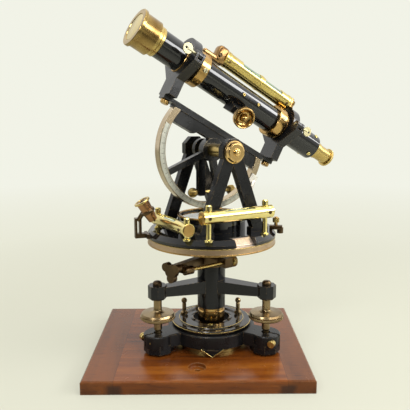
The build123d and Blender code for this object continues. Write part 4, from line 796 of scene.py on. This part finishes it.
# Small pieces
WORLD = Matrix.Identity(4)
LOBE_ANGLES = (210, 330, 90)
LOBE_BODIES = ("foot_screw_l", "foot_screw_r", "foot_screw_b")
LOBE_CIRCLE = 66.9
LOBE_RADIUS = 15.6
WHEEL_GRIP = 53.1           # underside of the milled part of the foot screws' wheels
WHEEL_RADIUS = 18.5
PINCH_REACH = 78.6          # pinch screws, from the vertical axis
PINCH_HEIGHT = 29.15
PLATE_LEVEL = 144.5
COMPASS_LEVEL = 159.0
FRONT_LEVEL = (60.0, 168.5)     # across and height of its axis
FRONT_POSTS = (-28.5, 38.3)
SIDE_LEVEL = (54.0, 155.0)
SIDE_POSTS = (-22.5, 44.5)
POST_HEAD = 10.6            # from a level's axis to the cross hole of its post
CAP_FACE = 133.0             # the recessed face of the lens cap, along the tube
CAP_FACE_RADIUS = 13.9
BOARD_LEVEL = 13.7
FLANGE_LEVEL = 22.0
TONGUE_HALF = 12.0
TONGUE_REACH = 50.0
MAIN_LEVEL_RISE = 27.0
MAIN_LEVEL_ENDS = (-64.0, 34.0)
MAIN_LEVEL_WINDOWS = ((-48.6, -21.9), (-14.8, 11.8))
LEVEL_SCREW_LOW = -2.8      # foot of the level's adjusting screw, from the level's axis
READER_TURN = -13.4
READER_TILT = 30.0
READER_LOW_END = (66.4, 7.0, 157.4)
READER_RADIUS = 6.2
READER_EYE_RADIUS = 8.3
TUBE_RADIUS = 14.6
COLLAR_RADIUS = 18.4
FOCUS_DROP = radians(25)
FOCUS_START = Vector((-6.0, -10.8 * sin(FOCUS_DROP), -10.8 * cos(FOCUS_DROP)))
FOCUS_ALONG = Vector((0, cos(FOCUS_DROP), -sin(FOCUS_DROP)))


def round_the_axis(angle, place, direction, size=1.0):
    return facing(Matrix.Rotation(radians(angle), 4, "Z"), place, direction, (size,) * 3)


def add_milling():
    """Ribbed rims of the foot screws, the knobs and the eyepiece."""
    wheels = milled_band("foot_screw_milling", WHEEL_RADIUS + 0.25, WHEEL_RADIUS - 1.2, 2.3, 84)
    stamp(wheels, "bronze",
          [(body, round_the_axis(angle, (LOBE_CIRCLE, 0, WHEEL_GRIP), (0, 0, 1)))
           for body, angle in zip(LOBE_BODIES, LOBE_ANGLES)])
    knob = milled_band("focus_knob_milling", 11.7, 10.6, 4.4, 60)
    stamp(knob, "copper", [("focus", facing(TUBE, FOCUS_START + FOCUS_ALONG * 28.9, FOCUS_ALONG))])
    rim = milled_band("eyepiece_milling", 11.2, 10.2, 2.3, 60)
    stamp(rim, "brass", [("eye", facing(TUBE, (-149.2, 0, 0), (-1, 0, 0)))])
    head = milled_band("vertical_screw_milling", 5.6, 4.7, 4.8, 32)
    stamp(head, "brass", [("vertical_tangent", facing(ALIDADE, (-39.9, -20, 181), (1, 0, 0)))])
    turn = radians(36.2)
    along = Vector((cos(turn), sin(turn), 0))
    foot = Vector((26.1 * sin(turn), -26.1 * cos(turn), 110))
    head = milled_band("lower_screw_milling", 6.4, 5.5, 3.6, 36)
    stamp(head, "dark_bronze", [("lower_tangent", facing(WORLD, foot + along * 7.4, along))])


def add_screws():
    """Slotted heads on the plates, the collars and the levels."""
    lobe = sqrt(LOBE_RADIUS ** 2 - (PINCH_REACH - LOBE_CIRCLE) ** 2) + 2.1
    stamp(slotted_screw("pinch_screw_head"), "brass",
          [("base", round_the_axis(angle, (PINCH_REACH, -lobe, PINCH_HEIGHT), (0, -1, 0), 3.95))
           for angle in LOBE_ANGLES])
    stamp(slotted_screw("ring_screw"), "level_brass",
          [("base", facing(WORLD, (-1.4, -24.4, 39.9), (0, 0, 1), (2.3, 2.3, 2.3)))])
    feet = [(side_x * 33.5 + end * 9.1, side_y * 40, PLATE_LEVEL + 4.8)
            for side_x in (-1, 1) for side_y in (-1, 1) for end in (-1, 1)]
    stamp(slotted_screw("frame_foot_screw"), "dark_bronze",
          [("upper_plate", facing(ALIDADE, place, (0, 0, 1), (1.6,) * 3)) for place in feet])
    across, height = FRONT_LEVEL
    case = [facing(ALIDADE, (x, across + 6.3, height), (0, 1, 0), (1.7,) * 3) for x in (-30.5, 40.5)]
    across, height = SIDE_LEVEL
    case += [facing(ALIDADE, (across + 6.3, y, height), (1, 0, 0), (1.6,) * 3) for y in (-18, 39)]
    stamp(slotted_screw("level_case_screw"), "dark_bronze", [("upper_plate", q) for q in case])
    main = [radial(x, 8.2, -22, rise=MAIN_LEVEL_RISE, size=1.5) for x in (29.0, -59.0)]
    main += [radial(x, 8.2, 202, rise=MAIN_LEVEL_RISE, size=1.5) for x in (29.0, -59.0)]
    stamp(slotted_screw("main_level_screw"), "dark_bronze", [("telescope", q) for q in main])
    collars = [radial(54.5, 18.1, -8, size=2.5), radial(-57.8, 18.1, 10, size=2.2),
               radial(54.5, 18.1, 188, size=2.5), radial(-57.8, 18.1, 170, size=2.2)]
    stamp(slotted_screw("collar_screw"), "pale_brass", [("telescope", q) for q in collars])
    reticle = [radial(-115.5, TUBE_RADIUS - 0.2, angle, size=2.3) for angle in (-50, 48, 138, 228)]
    stamp(slotted_screw("reticle_screw"), "level_brass", [("telescope", q) for q in reticle])


def add_capstan_holes():
    """The cross holes in the heads of the level posts."""
    places = [facing(ALIDADE, (x, FRONT_LEVEL[0] + 3.1, FRONT_LEVEL[1] + POST_HEAD), (0, 1, 0), (0.8,) * 3)
              for x in FRONT_POSTS]
    places += [facing(ALIDADE, (SIDE_LEVEL[0] + 3.1, y, SIDE_LEVEL[1] + POST_HEAD), (1, 0, 0), (0.8,) * 3)
               for y in SIDE_POSTS]
    # painted shade: each post hole is painted near-black where the hole's shade falls
    stamp(capstan_hole("post_hole"), "hole", [("upper_plate", place) for place in places])


def add_saddle_strip():
    """The strip that clamps the focusing saddle, with a screw at each end."""
    strip = plate_piece("saddle_strip", 27, 4.6, 1.1, 0.35)
    turn = radians(3)
    outward = (0, cos(turn), sin(turn))
    lean = Matrix.Rotation(radians(3), 4, "X") @ Matrix.Rotation(-pi / 2, 4, "X")
    settle(strip, TUBE @ Matrix.Translation(Vector((-10.5, 14.3 * cos(turn), 14.3 * sin(turn))) * MM) @ lean,
           "black", "telescope")
    stamp(slotted_screw("saddle_screw"), "brass",
          [("telescope", facing(TUBE, (x, 15.3 * cos(turn), 15.3 * sin(turn)), outward, (1.7,) * 3))
           for x in (-21.0, 0.5)])


def add_compass_ring():
    ring = hoop("compass_ring", 37.7, 34.5, 1.5, 128, 0.35)
    settle(ring, facing(WORLD, (0, 0, COMPASS_LEVEL - 0.7), (0, 0, 1)), "copper", "upper_plate")


def add_bubbles():
    long_bubble = (15.0, 2.6, 0.5)
    short_bubble = (7.0, 2.1, 0.45)
    pieces = [("main_bubble", "telescope", TUBE, (-17.5, 0, MAIN_LEVEL_RISE + 7.4), 0, long_bubble),
              ("front_bubble", "upper_plate", ALIDADE, (5, FRONT_LEVEL[0], FRONT_LEVEL[1] + 4.9), 0, short_bubble),
              ("side_bubble", "upper_plate", ALIDADE, (SIDE_LEVEL[0], 9, SIDE_LEVEL[1] + 4.9), 90, short_bubble)]
    for name, body, frame_of, place, turn, size in pieces:
        placed = frame_of @ Matrix.Translation(Vector(place) * MM) @ Matrix.Rotation(radians(turn), 4, "Z")
        settle(bubble(name), placed @ Matrix.Diagonal((*size, 1)), "bubble", body)


def along_tube(x, y, z, turn=0.0):
    """A place in the telescope's frame, with the piece's Z along the tube and its X turned up from the side."""
    c, s = cos(radians(turn)), sin(radians(turn))
    turned = Matrix(((0, 0, 1, x * MM), (c, -s, 0, y * MM), (s, c, 0, z * MM), (0, 0, 0, 1)))
    return TUBE @ turned


def add_telescope_level():
    """The telescope level's case with its two windows, its bands and its screw at the eye end."""
    start, end = MAIN_LEVEL_ENDS
    windows = [(low - start, high - start) for low, high in MAIN_LEVEL_WINDOWS]
    case = windowed_case("telescope_level_case", 8.5, end - start, 0.9, windows, 80)
    settle(case, along_tube(start, 0, MAIN_LEVEL_RISE, 90), "level_gold", "telescope")
    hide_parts("telescope_level")
    vial = turned_piece("telescope_level_glass", ((0, 2), (6.5, 2), (7.55, 3.2), (7.55, end - start - 3.2),
                                                  (6.5, end - start - 2), (0, end - start - 2)), 56)
    settle(vial, along_tube(start, 0, MAIN_LEVEL_RISE, 90), "spirit", "telescope")
    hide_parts("telescope_level_vial")
    bands = ((start + 0.2, 4.0), (-19.6, 2.6), (end - 6.0, 3.0))
    for number, (x, width) in enumerate(bands, 1):
        band = hoop(f"telescope_level_band_{number}", 8.95, 8.0, width, 64, 0.3)
        settle(band, along_tube(x, 0, MAIN_LEVEL_RISE, 90), "level_gold", "telescope")
    head = plate_piece("level_bracket", 14, 13, 19.6, 4.2)
    settle(head, TUBE @ Matrix.Translation(Vector((38, 0, 16.8)) * MM), "browned_brass", "telescope")
    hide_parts("level_mounts")
    foot = plate_piece("level_bracket_foot", 23, 11, 6.6, 2.2)
    settle(foot, TUBE @ Matrix.Translation(Vector((48.2, 0, 16.6)) * MM), "browned_brass", "telescope")
    tongue = plate_piece("level_tongue", 8.5, 8, 3, 0.5)
    settle(tongue, TUBE @ Matrix.Translation(Vector((start - 3.5, 0, MAIN_LEVEL_RISE - 1.5)) * MM), "copper",
           "telescope")
    nuts = turned_piece("level_nuts", ((0, LEVEL_SCREW_LOW), (4.6, LEVEL_SCREW_LOW), (5, LEVEL_SCREW_LOW + 0.4),
                                       (5, -1.9), (4.2, -1.5), (4.2, 1.5), (5, 1.9), (5, 5.2), (4.4, 5.9),
                                       (2.4, 6.3), (2.4, 8.2), (1.4, 9.1), (0, 9.4)), 32)
    settle(nuts, TUBE @ Matrix.Translation(Vector((start - 5, 0, MAIN_LEVEL_RISE)) * MM), "copper", "telescope")
    stamp(slotted_screw("bracket_screw"), "dark_bronze",
          [("telescope", facing(TUBE, (41, side * 6.4, 25), (0, side, 0), (2.0,) * 3)) for side in (-1, 1)])


def add_focus_knob():
    """The milled knob with its deep bowl and boss, on the pinion's stem."""
    knob = turned_piece("focus_knob_bowl", (
        (0, -1.8), (2.4, -1.8), (2.4, 21.3), (4, 21.3), (4, 27.5), (9, 27.5), (11.3, 28.7), (11.5, 29.2),
        (11.5, 33.6), (11.1, 34.4), (10.3, 34.7), (9.7, 34.3), (9.2, 33.3), (8.3, 31.9), (7.0, 30.7), (5.6, 30.2),
        (4.6, 30.3), (4.2, 30.9), (3.9, 32.2), (3.2, 34.2), (2.3, 35.6), (1.2, 36.2), (0, 36.4)), 72)
    settle(knob, facing(TUBE, FOCUS_START, FOCUS_ALONG), "copper", "focus")
    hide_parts("focus_knob")


def add_trim():
    """End discs of the plate levels, the reader's collar and the limb's bright rims."""
    disc = turned_piece("level_end_disc", ((0, 0), (6.2, 0), (6.2, 0.5), (5.6, 0.9), (0, 0.9)), 40)
    across, height = FRONT_LEVEL
    ends = [facing(ALIDADE, (x, across, height), (side, 0, 0)) for x, side in ((-35.9, -1), (45.9, 1))]
    across, height = SIDE_LEVEL
    ends += [facing(ALIDADE, (across, y, height), (0, side, 0)) for y, side in ((-29.9, -1), (47.9, 1))]
    stamp(disc, "copper", [("upper_plate", place) for place in ends])
    reader = (ALIDADE @ Matrix.Rotation(radians(READER_TURN), 4, "Z")
              @ Matrix.Translation(Vector(READER_LOW_END) * MM) @ Matrix.Rotation(radians(READER_TILT), 4, "Y"))
    collar = hoop("reader_collar", READER_RADIUS + 1.4, READER_RADIUS - 0.8, 3.4, 56, 0.5)
    settle(collar, reader @ Matrix.Translation((0, 0, 9.4 * MM)), "dark_bronze", "reader")
    lip = hoop("reader_lip", READER_EYE_RADIUS + 0.5, READER_EYE_RADIUS - 2.2, 2.2, 56, 0.6)
    settle(lip, reader @ Matrix.Translation((0, 0, 21.9 * MM)), "brass", "reader")
    rims = (("limb_foot_rim", 70.4, 69.4, 128.7, 1.5, "copper", "limb"),
            ("limb_top_rim", 70.25, 69.4, 135.4, 0.7, "brass", "limb"),
            ("ring_outer_lip", 44.45, 43.4, 38.35, 0.8, "brass", "base"),
            ("ring_step_lip", 36.3, 35.6, 41.0, 0.65, "brass", "base"))
    for name, radius, bore, level, width, finish, body in rims:
        rim = hoop(name, radius, bore, width, 160, 0.25)
        settle(rim, Matrix.Translation((0, 0, level * MM)), finish, body)


def add_cap_face():
    """The pale face of the lens cap, inside its rim."""
    face = turned_piece("cap_face", ((0, 0), (CAP_FACE_RADIUS, 0), (CAP_FACE_RADIUS, 0.25),
                                     (CAP_FACE_RADIUS - 0.6, 0.5), (0, 0.6)), 72)
    settle(face, along_tube(CAP_FACE, 0, 0), "pale_gold", "cap")


def add_tongue_edges():
    """The brass edges of the V-shaped tongue at the front of the foot plate."""
    drop = FLANGE_LEVEL - BOARD_LEVEL
    length = hypot(TONGUE_HALF, drop)
    for name, side in (("tongue_edge_left", -1), ("tongue_edge_right", 1)):
        strip = plate_piece(name, length + 1.0, 2.6, 1.3, 0.3)
        lean = Matrix.Rotation(-side * atan2(drop, TONGUE_HALF), 4, "Y")
        middle = Vector((side * TONGUE_HALF / 2, -TONGUE_REACH + 0.9, (FLANGE_LEVEL + BOARD_LEVEL) / 2))
        settle(strip, Matrix.Translation(middle * MM) @ lean, "brass", "base")


def add_lobe_feet():
    """The faceted feet under the three lobes, which stand on the board."""
    foot = new_disc("lobe_foot", 16.3, 9.2, 8)
    pick_faces(foot, lambda middle, normal: normal.z < -0.9)
    bpy.ops.mesh.inset(thickness=2.2 * MM)
    bpy.ops.transform.translate(value=(0, 0, -2.2 * MM))
    bpy.ops.object.mode_set(mode="OBJECT")
    eighth = Matrix.Rotation(pi / 8, 4, "Z")
    stamp(foot, "black",
          [("base", Matrix.Rotation(radians(angle), 4, "Z")
            @ Matrix.Translation(Vector((LOBE_CIRCLE - 0.8, 0, 16.2)) * MM) @ eighth) for angle in LOBE_ANGLES])


def add_upper_clamp():
    """The clamp on the rim of the upper plate, with its milled screw and its nut."""
    heading = Matrix.Rotation(radians(-9), 4, "Z")
    lug = plate_piece("upper_clamp_lug", 14, 7, 4.4, 0.8)
    settle(lug, heading @ Matrix.Translation(Vector((70.5, 0, 144.2)) * MM), "dark_bronze", "upper_plate")
    post = milled_band("upper_clamp_screw", 3.6, 1.2, 5.0, 26)
    settle(post, heading @ Matrix.Translation(Vector((70.5, 0, 152.0)) * MM), "brass", "upper_plate")
    stem = hoop("upper_clamp_stem", 1.9, 0.4, 11.0, 24, 0.3)
    settle(stem, heading @ Matrix.Translation(Vector((70.5, 0, 147.0)) * MM), "copper", "upper_plate")
    nut = hoop("upper_clamp_nut", 3.4, 0.8, 6.5, 28, 0.6)
    settle(nut, heading @ Matrix.Translation(Vector((75.2, 0, 140.0)) * MM), "dark_bronze", "upper_plate")


FINISHES = make_finishes()
dress_cad_nodes(FINISHES)
add_camera()
add_world()
add_floor()
add_lamp("left_softbox", (-0.62, -0.95, 0.82), (0, 0, 0.18), (0.28, 0.28), 5)
add_lamp("right_softbox", (0.55, -0.98, 0.80), (0, 0, 0.18), (0.24, 0.24), 4)
add_lamp("overhead_strip", (0.12, -0.28, 1.25), (0, 0, 0.2), (1.0, 0.22), 6)
add_lamp("right_window", (1.0, -0.35, 0.66), (0, 0, 0.22), (1.0, 0.30), 12)
add_milling()
add_screws()
add_capstan_holes()
add_saddle_strip()
add_compass_ring()
add_bubbles()
add_upper_clamp()
add_lobe_feet()
add_telescope_level()
add_focus_knob()
add_trim()
add_cap_face()
add_tongue_edges()

bpy.context.scene.view_settings.view_transform = "Standard"
